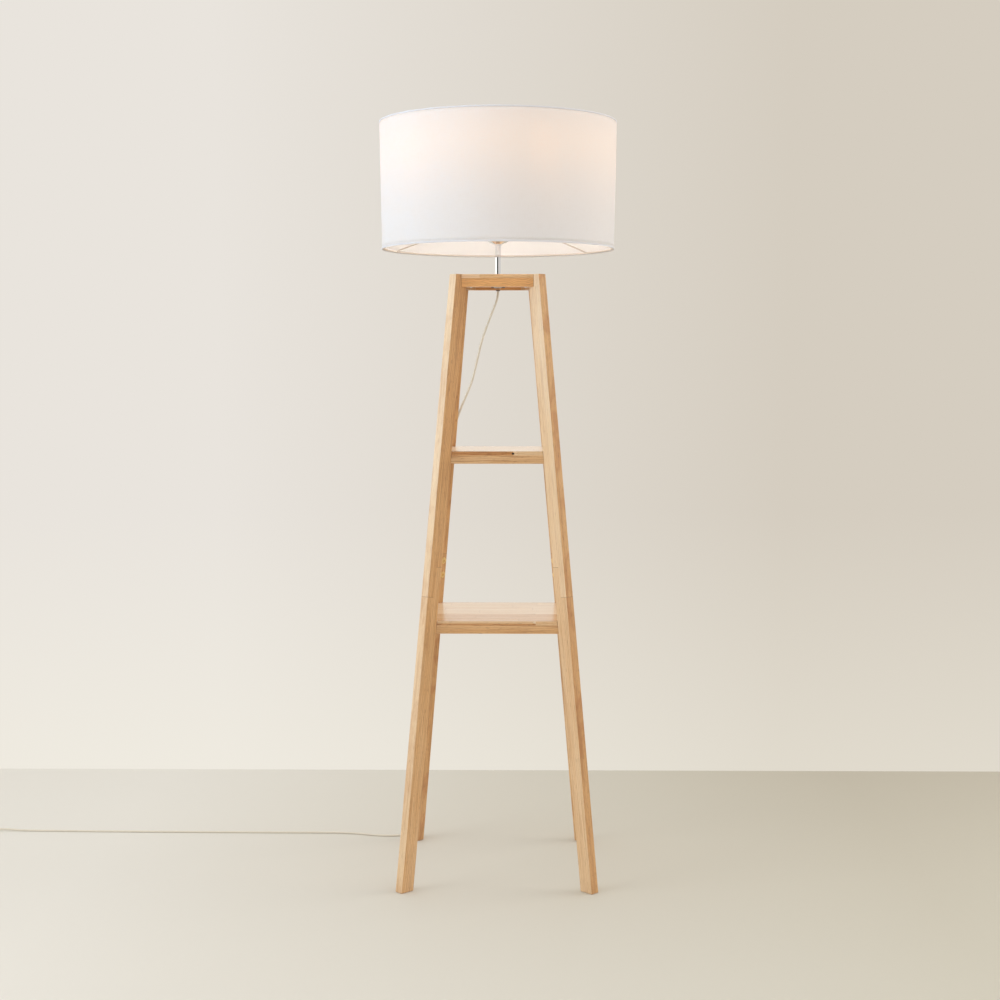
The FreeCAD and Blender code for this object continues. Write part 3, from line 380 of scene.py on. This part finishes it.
def lacquered(f, colour, relief, rough, seam=0.0):
    """Satin lacquer over the wood, thin enough that pores and glue lines still tell."""
    return f.done(f.shell(Base_Color=colour, Roughness=rough + 0.34,
                          Specular_IOR_Level=0.5, Coat_Weight=0.55, Coat_Roughness=0.2,
                          Normal=f.bump(relief - seam, 0.35, 0.00012)))


def solid_wood(name, along, across, seed, tone, wavy=0.0, outer=None, end=None):
    """One board or bar, its grain along the first axis. outer is the tone of the face that
    looks away from the stem, a lamella of its own, its tone partly painted light. end is
    where along the grain the bar's tongue ends, in millimetres: end grain shows there as a
    thin dark line. Without an end, a painted shadow darkens the wood where it meets a leg."""
    f = Finish(name)
    place = f.place()
    u, v, w = (f.along(place, axis) for axis in (along, across, cross(along, across)))
    if outer is not None:
        tone = v.above(OUTER_FACE - OUTER_LAMELLA) * (outer - tone) + tone
    colour, relief, rough = grained(f, u, v, w, tone, seed, wavy)
    # without an end, seam is a painted shadow where the wood meets a leg; with one, it is
    # the end grain's dark line
    seam = painted_leg_shadow(f, place) if end is None else 1.0 - (u - end).size().edge(0.5, 1.3)
    return lacquered(f, f.mix(seam * 0.62, colour, UMBER), relief, rough, seam)


def painted_leg_shadow(f, place):
    """1 along the thin shadow where a tier's wood meets a leg. The legs stand on the
    diagonals and lean, so a point's distance to one is the greater of two: to its wide
    faces, from the nearer diagonal, and to its inner face, from the point's own
    distance along the diagonal and its height."""
    x, y, z = (f.along(place, axis) for axis in (X, Y, Z))
    aside = (x - y).size().least((x + y).size()) * math.sqrt(0.5) - LEG_THICK / 2
    inner = LEG_FOOT_R - LEG_HALF / math.cos(LEAN)
    short = inner - z * math.tan(LEAN) - (x.size() + y.size()) * math.sqrt(0.5)
    return 1.0 - aside.most(short).edge(0.3, 1.1)


def glued_panel(name, seed, marks, wavy):
    """Panel of staves that run across the lamp. A stave is the floor of y over its width,
    and is finger-jointed: its lengths are the floor of x plus a zigzag in height over their
    length. Each length takes its tone from white noise, within STAVE_TONES, and a thin dark
    line lies in each glue joint. marks are (lowest, highest, tone) boxes in millimetres
    whose tone is given. A tone over 1.5 turns to pitch, as in a hole."""
    f = Finish(name)
    place = f.place()
    x, y, z = (f.along(place, axis) for axis in (X, Y, Z))
    y = y + 0.5 * STAVE_WIDE
    row = (y / STAVE_WIDE).floor()
    zigzag = ((z / FINGER_PITCH).fract() * 2.0 - 1.0).size() * FINGER_DEPTH
    run = (x + zigzag) / STAVE_LONG + f.chance(f.triple(row, seed, 1.5)) * 9.0
    piece = f.triple(run.floor() * 1.7 + 0.3, row * 2.3 + 0.1, seed)
    pick = f.chance(piece)
    palest, darkest = STAVE_TONES
    tone = pick * (darkest - palest) + palest
    for low, high, level in marks:
        inside = None
        for where, a, b in zip((x, y - 0.5 * STAVE_WIDE, z), low, high):
            part = where.above(a) * where.below(b)
            inside = part if inside is None else inside * part
        tone = tone + inside * (level - tone)
    colour, relief, rough = grained(f, x, y, z, tone, pick * 3.0 + seed, wavy)
    # a tone over 1.5 paints a hole's shade in near black
    colour = f.mix((tone - 1.5).held(), colour, PAINTED_HOLE_SHADE)
    gap_y = ((y / STAVE_WIDE).fract() - 0.5).size() * -STAVE_WIDE + STAVE_WIDE / 2
    gap_x = (run.fract() - 0.5).size() * -STAVE_LONG + STAVE_LONG / 2
    seam = 1.0 - gap_y.least(gap_x).edge(0.05, 0.5)
    # the glue lines are joined by a painted shadow where the panel meets a leg
    seam = (seam * 0.5).most(painted_leg_shadow(f, place) * 0.62)
    return lacquered(f, f.mix(seam, colour, UMBER), relief, rough, seam)


def leg_axes(azimuth):
    """Unit vectors up a leg and square to it, away from the stem."""
    a = math.radians(azimuth)
    out = np.array((math.cos(a), math.sin(a), 0.0))
    up = np.array((0.0, 0.0, 1.0))
    return (tuple(up * math.cos(LEAN) - out * math.sin(LEAN)),
            tuple(out * math.cos(LEAN) + up * math.sin(LEAN)))


def dress(node, material):
    """Put one material on a CAD node."""
    thing = bpy.data.objects[node]
    if not thing.material_slots:
        thing.data.materials.append(material)
    for place in thing.material_slots:
        place.material = material
    return thing


def eased(node, width):
    """A copy of a CAD piece, merged, with its flat faces whole again and its edges
    rounded by the given width. It stands for the node."""
    source = bpy.data.objects[node]
    shape = bmesh.new()
    shape.from_mesh(source.data)
    bmesh.ops.remove_doubles(shape, verts=shape.verts, dist=0.00002)
    bmesh.ops.dissolve_limit(shape, angle_limit=math.radians(0.5), verts=shape.verts,
                             edges=shape.edges)
    data = bpy.data.meshes.new(node + "_eased")
    shape.to_mesh(data)
    shape.free()
    copy = bpy.data.objects.new(node + "_eased", data)
    scene.collection.objects.link(copy)
    rounding = copy.modifiers.new("arris", "BEVEL")
    rounding.width, rounding.segments = width, 2
    rounding.limit_method, rounding.angle_limit = "ANGLE", math.radians(35)
    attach(copy, "stand")
    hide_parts(node)
    return copy


# tone of a bar, and of its outer face. On the front legs they are partly the staves' own
# tones and partly painted light: paler on the faces that look left, darker on those that
# look right
LEG_TONES_AND_PAINTED_LIGHT = {"upper_front_left": (0.68, 0.28), "upper_front_right": (0.26, 0.68),
             "upper_rear_left": (0.75, 0.6), "upper_rear_right": (0.5, 0.6),
             "lower_front_left": (0.6, 0.38), "lower_front_right": (0.4, 0.8),
             "lower_rear_left": (0.7, 0.5), "lower_rear_right": (0.55, 0.5)}
RAIL_TONES = {"top": (0.44, 1.0), "upper_shelf": (0.62, 0.1), "lower_shelf": (0.62, 0.1)}
PANEL_MARKS = {
    "top": (((-92, -105, 1260), (-37, -45, 1276), 0.12),
            ((-37, -105, 1260), (60, -45, 1276), 0.36)),
    "upper_shelf": (((-120, -140, 895), (33, -85, 907.5), 1.15),
                    ((33, -140, 895), (120, -85, 907.5), 0.42),
                    # painted shade of a small hole in the front edge
                    ((30, -140, 901), (35, -85, 905), 3.0),
                    ((-120, -140, 907.5), (120, 140, 909), 0.15)),
    "lower_shelf": (((-160, -170, 545), (80, -120, 552), 0.95),
                    ((80, -170, 545), (160, -120, 556), 0.5),
                    ((-160, -170, 556), (160, -36, 560), 0.58),
                    ((-160, -36, 545), (160, 170, 560), 0.28)),
}


def finish_wood():
    """Legs on the CAD meshes; panels, rails, blocks and crossbar with eased edges."""
    for corner, azimuth in CORNERS.items():
        up, out = leg_axes(azimuth)
        for part, lap_z in LAP_ENDS.items():
            tone, outer = LEG_TONES_AND_PAINTED_LIGHT[part + corner]
            end = lap_z / math.cos(LEAN) - LEG_FOOT_R * math.sin(LEAN)
            dress("leg_" + part + corner,
                  solid_wood("leg_wood_" + part + corner, up, out,
                             1.0 + 7.0 * tone + 0.01 * azimuth, tone, 0.0, outer, end))
    blocks = solid_wood("block_wood", Z, X, 23.0, 0.5)
    for tier, (tone, wavy) in RAIL_TONES.items():
        panel = glued_panel("panel_wood_" + tier, 24.0 + len(tier), PANEL_MARKS[tier],
                            wavy * 0.5)
        eased(tier + "_panel", PANEL_ARRIS).data.materials.append(panel)
        for side, along in (("front", X), ("rear", X), ("left", Y), ("right", Y)):
            rail = eased(tier + "_rail_" + side, RAIL_ARRIS)
            rail.data.materials.append(
                solid_wood("rail_wood_" + tier + "_" + side, along, Z,
                           len(tier) + 0.7 * len(side), tone, wavy))
        eased(tier + "_corner_blocks", BLOCK_ARRIS).data.materials.append(blocks)
    eased("stem_crossbar", CROSSBAR_ARRIS).data.materials.append(
        solid_wood("crossbar_wood", X, Y, 31.0, 0.55))


finish_wood()


# ------------------------------------------------------------------ metals
def worn_metal(name, colour, rough, grain, spread):
    """Plated metal: fine scratches and a faint clouding, both in its roughness. The
    clouding dulls its colour too, and the scratches give it relief."""
    f = Finish(name)
    place = f.place()
    clouds = f.noise(place, 90.0, 3.0)
    lines = f.noise(f.triple(f.along(place, X) * grain, f.along(place, Y) * grain,
                             f.along(place, Z) * 0.15), 1.0, 4.0, 0.6)
    dull = tuple(c * 0.82 for c in colour[:3]) + (1.0,)
    return f.done(f.shell(Base_Color=f.mix(clouds.edge(0.4, 0.75) * spread, colour, dull),
                          Metallic=1.0,
                          Roughness=(clouds * 0.3 + lines * 0.4 + 0.75) * rough,
                          Normal=f.bump(lines, 0.06, 0.00005)))


BRASS = worn_metal("lacquered_brass", tint(247, 217, 158), 0.42, 2.4, 0.3)
ZINC = worn_metal("zinc_plate", tint(232, 232, 234), 0.42, 3.0, 0.4)
CHROME = worn_metal("polished_chrome", tint(232, 233, 236), 0.02, 0.6, 0.15)
TIN = worn_metal("cap_tin", tint(200, 200, 203), 0.28, 3.0, 0.5)
DARK_STEEL = worn_metal("dark_steel", tint(92, 88, 88), 0.3, 3.0, 0.5)
for node in ("lap_bolts", "lap_inserts", "lampholder_screw_shell", "plug_pins"):
    dress(node, BRASS)
for node in ("leg_screws", "stem_flange", "stem_locknut"):
    dress(node, ZINC)
dress("stem_flange_screws", DARK_STEEL)
for node in ("stem_tube", "stem_collar", "holder_dish"):
    dress(node, CHROME)
dress("bulb_cap", TIN)


# ------------------------------------------------------------------ plastics
def moulded(name, colour, rough, coat=0.0, depth=0.00004):
    """Moulded plastic: an even fine grain, faint flow marks and handling shine."""
    f = Finish(name)
    place = f.place()
    grain = f.noise(place, 2600.0, 2.0)
    flow = f.noise(place, 38.0, 3.0, 0.6, 0.6)
    shade = tuple(c * 0.88 for c in colour[:3]) + (1.0,)
    return f.done(f.shell(Base_Color=f.mix(flow.edge(0.45, 0.8) * 0.35, colour, shade),
                          Roughness=grain * 0.08 + flow * 0.12 + rough,
                          Coat_Weight=coat, Coat_Roughness=0.25,
                          Normal=f.bump(grain + flow * 0.4, 0.25, depth)))


WHITE_MOULDED = moulded("white_moulding", tint(236, 234, 228), 0.34)
NYLON = moulded("natural_nylon", tint(232, 228, 216), 0.28, 0.2)
SWITCH_SHELL = moulded("switch_moulding", tint(238, 236, 230), 0.30, 0.15)
SWITCH_KEY = moulded("switch_key_moulding", tint(226, 223, 215), 0.36)
FLEX = moulded("flex_jacket", tint(226, 219, 204), 0.38, 0.1, 0.00002)
GRIP = moulded("grip_moulding", tint(58, 50, 50), 0.4)
for node in ("lampholder_base", "lampholder_skirt", "shade_washer", "shade_clamp_ring",
             "lampholder_insert"):
    dress(node, WHITE_MOULDED)
dress("stem_cord_grip", GRIP)
dress("cord_clips", NYLON)
dress("floor_switch_base", SWITCH_SHELL)
dress("floor_switch_cover", SWITCH_SHELL)
dress("floor_switch_button", SWITCH_KEY)
dress("plug_body", FLEX)
for cord in (main_cord, tail_cord):
    cord.data.materials.append(FLEX)


# ------------------------------------------------------------------ shade and bulb
SHADE_LOW, SHADE_HIGH = 1.33, 1.5945
SHADE_R_LOW, SHADE_R_HIGH = 0.2455, 0.25
CLOTH_THICK = 0.0005
CLOTH_INSET = 0.0004                           # under the drum's full radius
TAPE_INSET, TAPE_PROUD = 0.00065, 0.00045      # the same, and past the drum's edge
SEAM_AZIMUTH = math.radians(112)
SEAM_WIDE, SEAM_PROUD = 0.014, 0.00035
SEAM_STEEP, SEAM_SOFT = 0.0008, 0.007          # run of its two sides
THREAD_PITCH = 0.62                            # two threads, in millimetres
CLOTH_THROUGH, LINING_THROUGH = 0.17, 0.28     # share of light that goes through
# a painted glow in the cloth, in place of the lit bulb's warm light through it
GLOW_HEIGHT, GLOW_SPREAD = 205.0, 110.0        # above the lower edge, in millimetres
PAINTED_GLOW, PAINTED_GLOW_LEVEL = tint(255, 184, 84), 0.16
BULB_LEVEL = 30.0


def skin(name, points, closed_u, closed_v, uv=None):
    """Mesh of quads over a grid of points, shape (rows, columns, 3). Either way round may
    be closed. uv, if given, has one pair a column and row more than the grid's cells."""
    rows, columns = points.shape[:2]
    r = np.arange(rows if closed_v else rows - 1)[:, None]
    c = np.arange(columns if closed_u else columns - 1)[None, :]
    corner = (lambda i, j: (i % rows) * columns + j % columns)
    faces = np.stack((corner(r, c), corner(r, c + 1), corner(r + 1, c + 1),
                      corner(r + 1, c)), axis=-1).reshape(-1, 4)
    data = bpy.data.meshes.new(name)
    data.from_pydata(points.reshape(-1, 3), [], faces)
    data.polygons.foreach_set("use_smooth", np.ones(len(faces), dtype=bool))
    if uv is not None:
        high = uv.shape[1]
        at = (lambda i, j: (i * high + j))
        loops = np.stack((at(r, c), at(r, c + 1), at(r + 1, c + 1), at(r + 1, c)),
                         axis=-1).reshape(-1)
        data.uv_layers.new(name="cloth").data.foreach_set(
            "uv", uv.reshape(-1, 2)[loops].reshape(-1))
    piece = bpy.data.objects.new(name, data)
    scene.collection.objects.link(piece)
    return piece


def drum_cloth():
    """Cloth glued round the drum. Radius runs straight from the lower to the upper edge,
    plus three shallow waves of 0.08 to 0.16 mm that the sheet takes between the rings,
    and a lapped seam at the back. The seam's step is steep on one side and soft on the
    other, each half of 1 + tanh of the distance past it."""
    turn = np.linspace(0, TAU, 361)
    share = np.linspace(0, 1, 25)[:, None]
    a = turn[None, :-1]
    slack = np.sin(math.pi * share)
    r = SHADE_R_LOW + (SHADE_R_HIGH - SHADE_R_LOW) * share - CLOTH_INSET
    r = r + slack * (0.00016 * np.sin(5 * a + 0.7) + 0.0001 * np.sin(11 * a + 2.1)
                     + 0.00008 * np.sin(17 * a + 4 * share))
    past = (a - SEAM_AZIMUTH) * SHADE_R_HIGH
    r = r + SEAM_PROUD * ((1 + np.tanh(past / SEAM_STEEP)) / 2
                          * (1 + np.tanh((SEAM_WIDE - past) / SEAM_SOFT)) / 2)
    z = SHADE_LOW + (SHADE_HIGH - SHADE_LOW) * share + 0 * a
    points = np.stack((r * np.cos(a), r * np.sin(a), z), axis=-1)
    uv = np.stack(np.broadcast_arrays(turn[None, :] * SHADE_R_HIGH,
                                      share * (SHADE_HIGH - SHADE_LOW)), axis=-1)
    cloth = skin("drum_cloth", points, True, False, uv)
    wall = cloth.modifiers.new("wall", "SOLIDIFY")
    wall.thickness, wall.offset = CLOTH_THICK, -1
    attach(cloth, "shade")
    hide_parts("shade_fabric")
    return cloth


def rolled_edge(name, z, direction):
    """Tape rolled over an edge of the drum. Its section is a rounded hook: a superellipse
    2.1 mm by 3.8 mm, and its radius has fine gathers of 0.03 mm every 4 mm or so."""
    turn = np.linspace(0, TAU, 720, endpoint=False)[None, :]
    around = np.linspace(0, TAU, 14, endpoint=False)[:, None]
    c, s = np.cos(around), np.sin(around)
    half_wide, half_high = 0.00105, 0.0019
    flat = np.sign(c) * np.abs(c) ** 0.8 * half_wide
    tall = np.sign(s) * np.abs(s) ** 0.55 * half_high
    gathers = (0.00003 * np.sin(390 * turn + 2 * np.sin(7 * turn)) * np.abs(c)
               + 0.00002 * np.sin(133 * turn + 1.1) * np.abs(c))
    middle = z + direction * (half_high - TAPE_PROUD)
    share = (middle - SHADE_LOW) / (SHADE_HIGH - SHADE_LOW)
    r0 = SHADE_R_LOW + (SHADE_R_HIGH - SHADE_R_LOW) * share - TAPE_INSET
    r = r0 + flat + gathers
    height = middle + tall + 0.00003 * np.sin(9 * turn + 0.4)
    points = np.stack((r * np.cos(turn), r * np.sin(turn), height), axis=-1)
    return skin(name, points, True, True)


def cloth_finish():
    """White plain-weave cloth on the drum. Warp and weft are two sine waves in the cloth's
    own metres, with slubs where a thread is thicker, and part of the light goes through. A
    painted glow, emitted by the cloth itself in place of the lit bulb's warm light through
    it, falls off with the height h from its brightest ring as (1 + (h /
    GLOW_SPREAD)^2)^-1.5."""
    f = Finish("shade_weave")
    flat = f.node("ShaderNodeUVMap", {"uv_map": "cloth"})
    across = f.along(flat, X)
    up = f.along(flat, Y)
    weft = (up * (TAU / THREAD_PITCH)).wave()
    warp = (across * (TAU / THREAD_PITCH)).wave()
    slub_weft = f.noise(f.triple(across * 0.05, up * 1.1, 0.0), 1.0, 3.0).edge(0.5, 0.75)
    slub_warp = f.noise(f.triple(across * 1.1, up * 0.05, 4.0), 1.0, 3.0).edge(0.5, 0.75)
    cloud = f.noise(f.triple(across * 0.012, up * 0.012, 9.0), 1.0, 2.0)
    height = weft * warp * 0.35 + slub_weft * 0.8 + slub_warp * 0.8
    seam = 1000 * SHADE_R_HIGH * SEAM_AZIMUTH
    lap = across.edge(seam - 1.2, seam) * (1.0 - across.edge(seam + 13, seam + 14.5))
    colour = f.mix((slub_weft + slub_warp).held() * 0.35 + cloud * 0.1,
                   tint(249, 249, 252), tint(241, 238, 238))
    colour = f.mix(lap * 0.3, colour, tint(232, 224, 216))
    # painted glow: the cloth itself emits warm light, brightest at one height
    away = (up - GLOW_HEIGHT) / GLOW_SPREAD
    glow = (away * away + 1.0).power(-1.5)
    cloth = f.shell(Base_Color=colour, Roughness=0.85 - slub_weft * 0.1,
                    Sheen_Weight=0.12, Sheen_Roughness=0.5,
                    Emission_Color=f.mix(glow, (0.0, 0.0, 0.0, 1.0), PAINTED_GLOW),
                    Emission_Strength=PAINTED_GLOW_LEVEL,
                    Normal=f.bump(height, 0.3, 0.00012))
    through = f.node("ShaderNodeBsdfTranslucent", None, {"Color": tint(250, 226, 200)})
    return f.done(f.blend(CLOTH_THROUGH, cloth, through))


def lining_finish():
    """White laminated sheet: smooth, with a faint orange peel, and lets light through."""
    f = Finish("shade_lining_sheet")
    place = f.place()
    peel = f.noise(place, 420.0, 2.0)
    cloud = f.noise(place, 9.0, 2.0)
    colour = f.mix(cloud * 0.4, tint(249, 248, 247), tint(244, 241, 238))
    sheet = f.shell(Base_Color=colour, Roughness=peel * 0.1 + 0.42,
                    Normal=f.bump(peel, 0.1, 0.00005))
    through = f.node("ShaderNodeBsdfTranslucent", None, {"Color": tint(252, 242, 228)})
    return f.done(f.blend(LINING_THROUGH, sheet, through))


def tape_finish():
    """Rolled tape: thin ribs across it, greyer than the cloth."""
    f = Finish("rolled_tape")
    place = f.place()
    x, y = f.along(place, X), f.along(place, Y)
    ribs = (y.calc("ARCTAN2", x) * 1400.0).wave() * 0.5 + 0.5
    fibre = f.noise(place, 900.0, 3.0)
    colour = f.mix(ribs * 0.25 + fibre * 0.3, tint(236, 234, 238), tint(214, 212, 218))
    return f.done(f.shell(Base_Color=colour, Roughness=fibre * 0.1 + 0.75,
                          Sheen_Weight=0.1,
                          Normal=f.bump(ribs * 0.6 + fibre, 0.3, 0.0001)))


def coated_wire():
    """Powder-coated wire: fine orange peel."""
    f = Finish("coated_wire")
    peel = f.noise(f.place(), 1500.0, 2.0)
    colour = f.mix(peel * 0.5, tint(226, 214, 202), tint(206, 192, 178))
    return f.done(f.shell(Base_Color=colour, Roughness=peel * 0.15 + 0.38,
                          Normal=f.bump(peel, 0.2, 0.00005)))


def opal_glass():
    """Opal bulb, lit, its glow a shade whiter towards the ball's top."""
    f = Finish("opal_glass")
    place = f.place()
    high = f.along(place, Z).edge(1415.0, 1490.0)
    speck = f.noise(place, 160.0, 2.0)
    glow = f.mix(high, tint(255, 253, 253), tint(255, 254, 254))
    return f.done(f.shell(Base_Color=f.mix(speck * 0.2, tint(248, 246, 240),
                                           tint(238, 234, 226)),
                          Roughness=speck * 0.05 + 0.18, Emission_Color=glow,
                          Emission_Strength=BULB_LEVEL))


drum_cloth().data.materials.append(cloth_finish())
TAPE = tape_finish()
lower_edge = rolled_edge("rolled_edge_lower", SHADE_LOW, 1)
upper_edge = rolled_edge("rolled_edge_upper", SHADE_HIGH, -1)
for edge in (lower_edge, upper_edge):
    edge.data.materials.append(TAPE)
    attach(edge, "shade")
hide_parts("shade_bindings")
dress("shade_lining", lining_finish())
WIRE = coated_wire()
for node in ("shade_lower_ring", "shade_upper_ring", "shade_spider"):
    dress(node, WIRE)
dress("bulb_globe", opal_glass())


# ------------------------------------------------------------------ floor and light
WORLD_LEVEL = 0.90
# painted light on the wall: paler at the left and near the floor, shaded to the right
WALL_LIT_LEFT, WALL_SHADED_RIGHT = tint(233, 228, 221), tint(213, 205, 192)
WALL_LIT_LOW = tint(245, 241, 227)
# painted light on the floor: paler at the left, shaded to the right and towards the wall
FLOOR_LIT_LEFT, FLOOR_SHADED_RIGHT = tint(229, 226, 218), tint(206, 201, 186)
FLOOR_SHADED_FAR = tint(188, 181, 165)
STAGE_REACH, WALL_BEHIND = 12.0, 0.85


def sheet(name, corners, material):
    """One face with the given corners."""
    data = bpy.data.meshes.new(name)
    data.from_pydata(corners, [], [(0, 1, 2, 3)])
    data.materials.append(material)
    plane = bpy.data.objects.new(name, data)
    scene.collection.objects.link(plane)
    return plane


def floor_finish():
    """Matt, with painted light: paler at the left, darker to the right and, most at the
    right, towards the wall. A camera below it sees through it."""
    f = Finish("studio_floor")
    place = f.place()
    side = f.along(place, X).edge(-900.0, 900.0)
    far = f.along(place, Y).edge(-700.0, 850.0) * (side * side * 0.9 + 0.1)
    boards = f.shell(Base_Color=f.mix(far, f.mix(side, FLOOR_LIT_LEFT, FLOOR_SHADED_RIGHT), FLOOR_SHADED_FAR),
                     Roughness=0.9, Specular_IOR_Level=0.1)
    return f.done(f.blend(f.ray("Camera") * f.from_behind(), boards,
                          f.node("ShaderNodeBsdfTransparent")))


def wall_finish():
    """Glows in the wall's colour for the camera in front of it, and isn't there for
    anything else. The colour carries painted light: paler at the left and near the floor,
    darker to the right."""
    f = Finish("studio_wall")
    place = f.place()
    side = f.along(place, X).edge(-750.0, 750.0)
    low = 1.0 - f.along(place, Z).edge(0.0, 700.0)
    colour = f.mix(low * (0.5 - side * 0.15), f.mix(side, WALL_LIT_LEFT, WALL_SHADED_RIGHT),
                   WALL_LIT_LOW)
    glow = f.node("ShaderNodeEmission", None, {"Color": colour, "Strength": 1.0})
    return f.done(f.blend(f.ray("Camera") * (1.0 - f.from_behind()),
                          f.node("ShaderNodeBsdfTransparent"), glow))


def set_stage():
    """A floor, and a wall behind the stem."""
    wide, wall_y = STAGE_REACH, WALL_BEHIND
    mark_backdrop(sheet("floor", [(-wide, -wide, 0), (wide, -wide, 0), (wide, wide, 0),
                             (-wide, wide, 0)], floor_finish()),
             sheet("wall", [(-wide, wall_y, 0), (wide, wall_y, 0), (wide, wall_y, wide),
                            (-wide, wall_y, wide)], wall_finish()))


def set_world():
    """Soft room light. Polished and clear surfaces see a pale room with a window at the far
    left, a duller right side and a dark gap on the camera's side, more to its left and near
    eye level. The camera sees the wall's colour, with painted shade that darkens it towards
    the right."""
    f = Finish("room", room=True)
    way = f.node("ShaderNodeTexCoord", out="Generated")
    x, y, z = (f.dot(way, axis) for axis in (X, Y, Z))
    gap = x.edge(-0.68, -0.58) * (1.0 - x.edge(0.22, 0.32))
    gap = gap * (1.0 - y.edge(-0.3, -0.2)) * (1.0 - z.size().edge(0.2, 0.4))
    window = (-1.0 * x).edge(0.6, 0.9) * (1.0 - z.size().edge(0.5, 0.8))
    plain = window * 0.8 - x.edge(0.75, 0.95) * 0.35 + 1.15
    room = f.node("ShaderNodeBackground", None, {"Color": (1.0, 0.985, 0.96, 1.0),
                                                 "Strength": WORLD_LEVEL})
    mirrored = f.node("ShaderNodeBackground", None,
                      {"Color": WALL_LIT_LEFT, "Strength": plain * (1.0 - gap * 0.97)})
    seen = f.node("ShaderNodeBackground", None, {
        "Color": f.mix(x.edge(-0.3, 0.3), WALL_LIT_LEFT, WALL_SHADED_RIGHT), "Strength": 1.0})
    shown = f.blend((f.ray("Glossy") + f.ray("Transmission")).held(), room, mirrored)
    scene.world = f.done(f.blend(f.ray("Camera"), shown, seen))


def soft_lamp(name, place, aim, size, power, colour, spread=180):
    """Square lamp turned towards aim, with its spread in degrees. Mirrors don't show it."""
    data = bpy.data.lights.new(name, "AREA")
    data.shape, data.size, data.energy, data.color = "SQUARE", size, power, colour
    data.spread = math.radians(spread)
    lamp = bpy.data.objects.new(name, data)
    lamp.location = place
    way = np.array(aim) - np.array(place)
    lamp.rotation_euler = (math.acos(-way[2] / np.linalg.norm(way)), 0,
                           math.atan2(way[1], way[0]) - math.pi / 2)
    lamp.visible_glossy = False
    scene.collection.objects.link(lamp)


set_stage()
set_world()
soft_lamp("window", (-3.2, -1.8, 2.4), (0, 0, 0.9), 2.2, 26.0, (0.97, 0.985, 1.0))
soft_lamp("sky", (-3.0, -0.6, 1.9), (0, 0, 1.5), 0.9, 0.62, (0.3, 0.66, 1.0), 24)
soft_lamp("fill", (3.2, 0.4, 2.0), (0, 0, 1.0), 2.0, 24.0, (1.0, 0.95, 0.89))
scene.view_settings.view_transform = "Standard"

bpy.context.view_layer.update()
({"cad": [list(map(float, corner)) for corner in cad_box],
           "visual": [list(map(float, corner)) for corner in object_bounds()]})
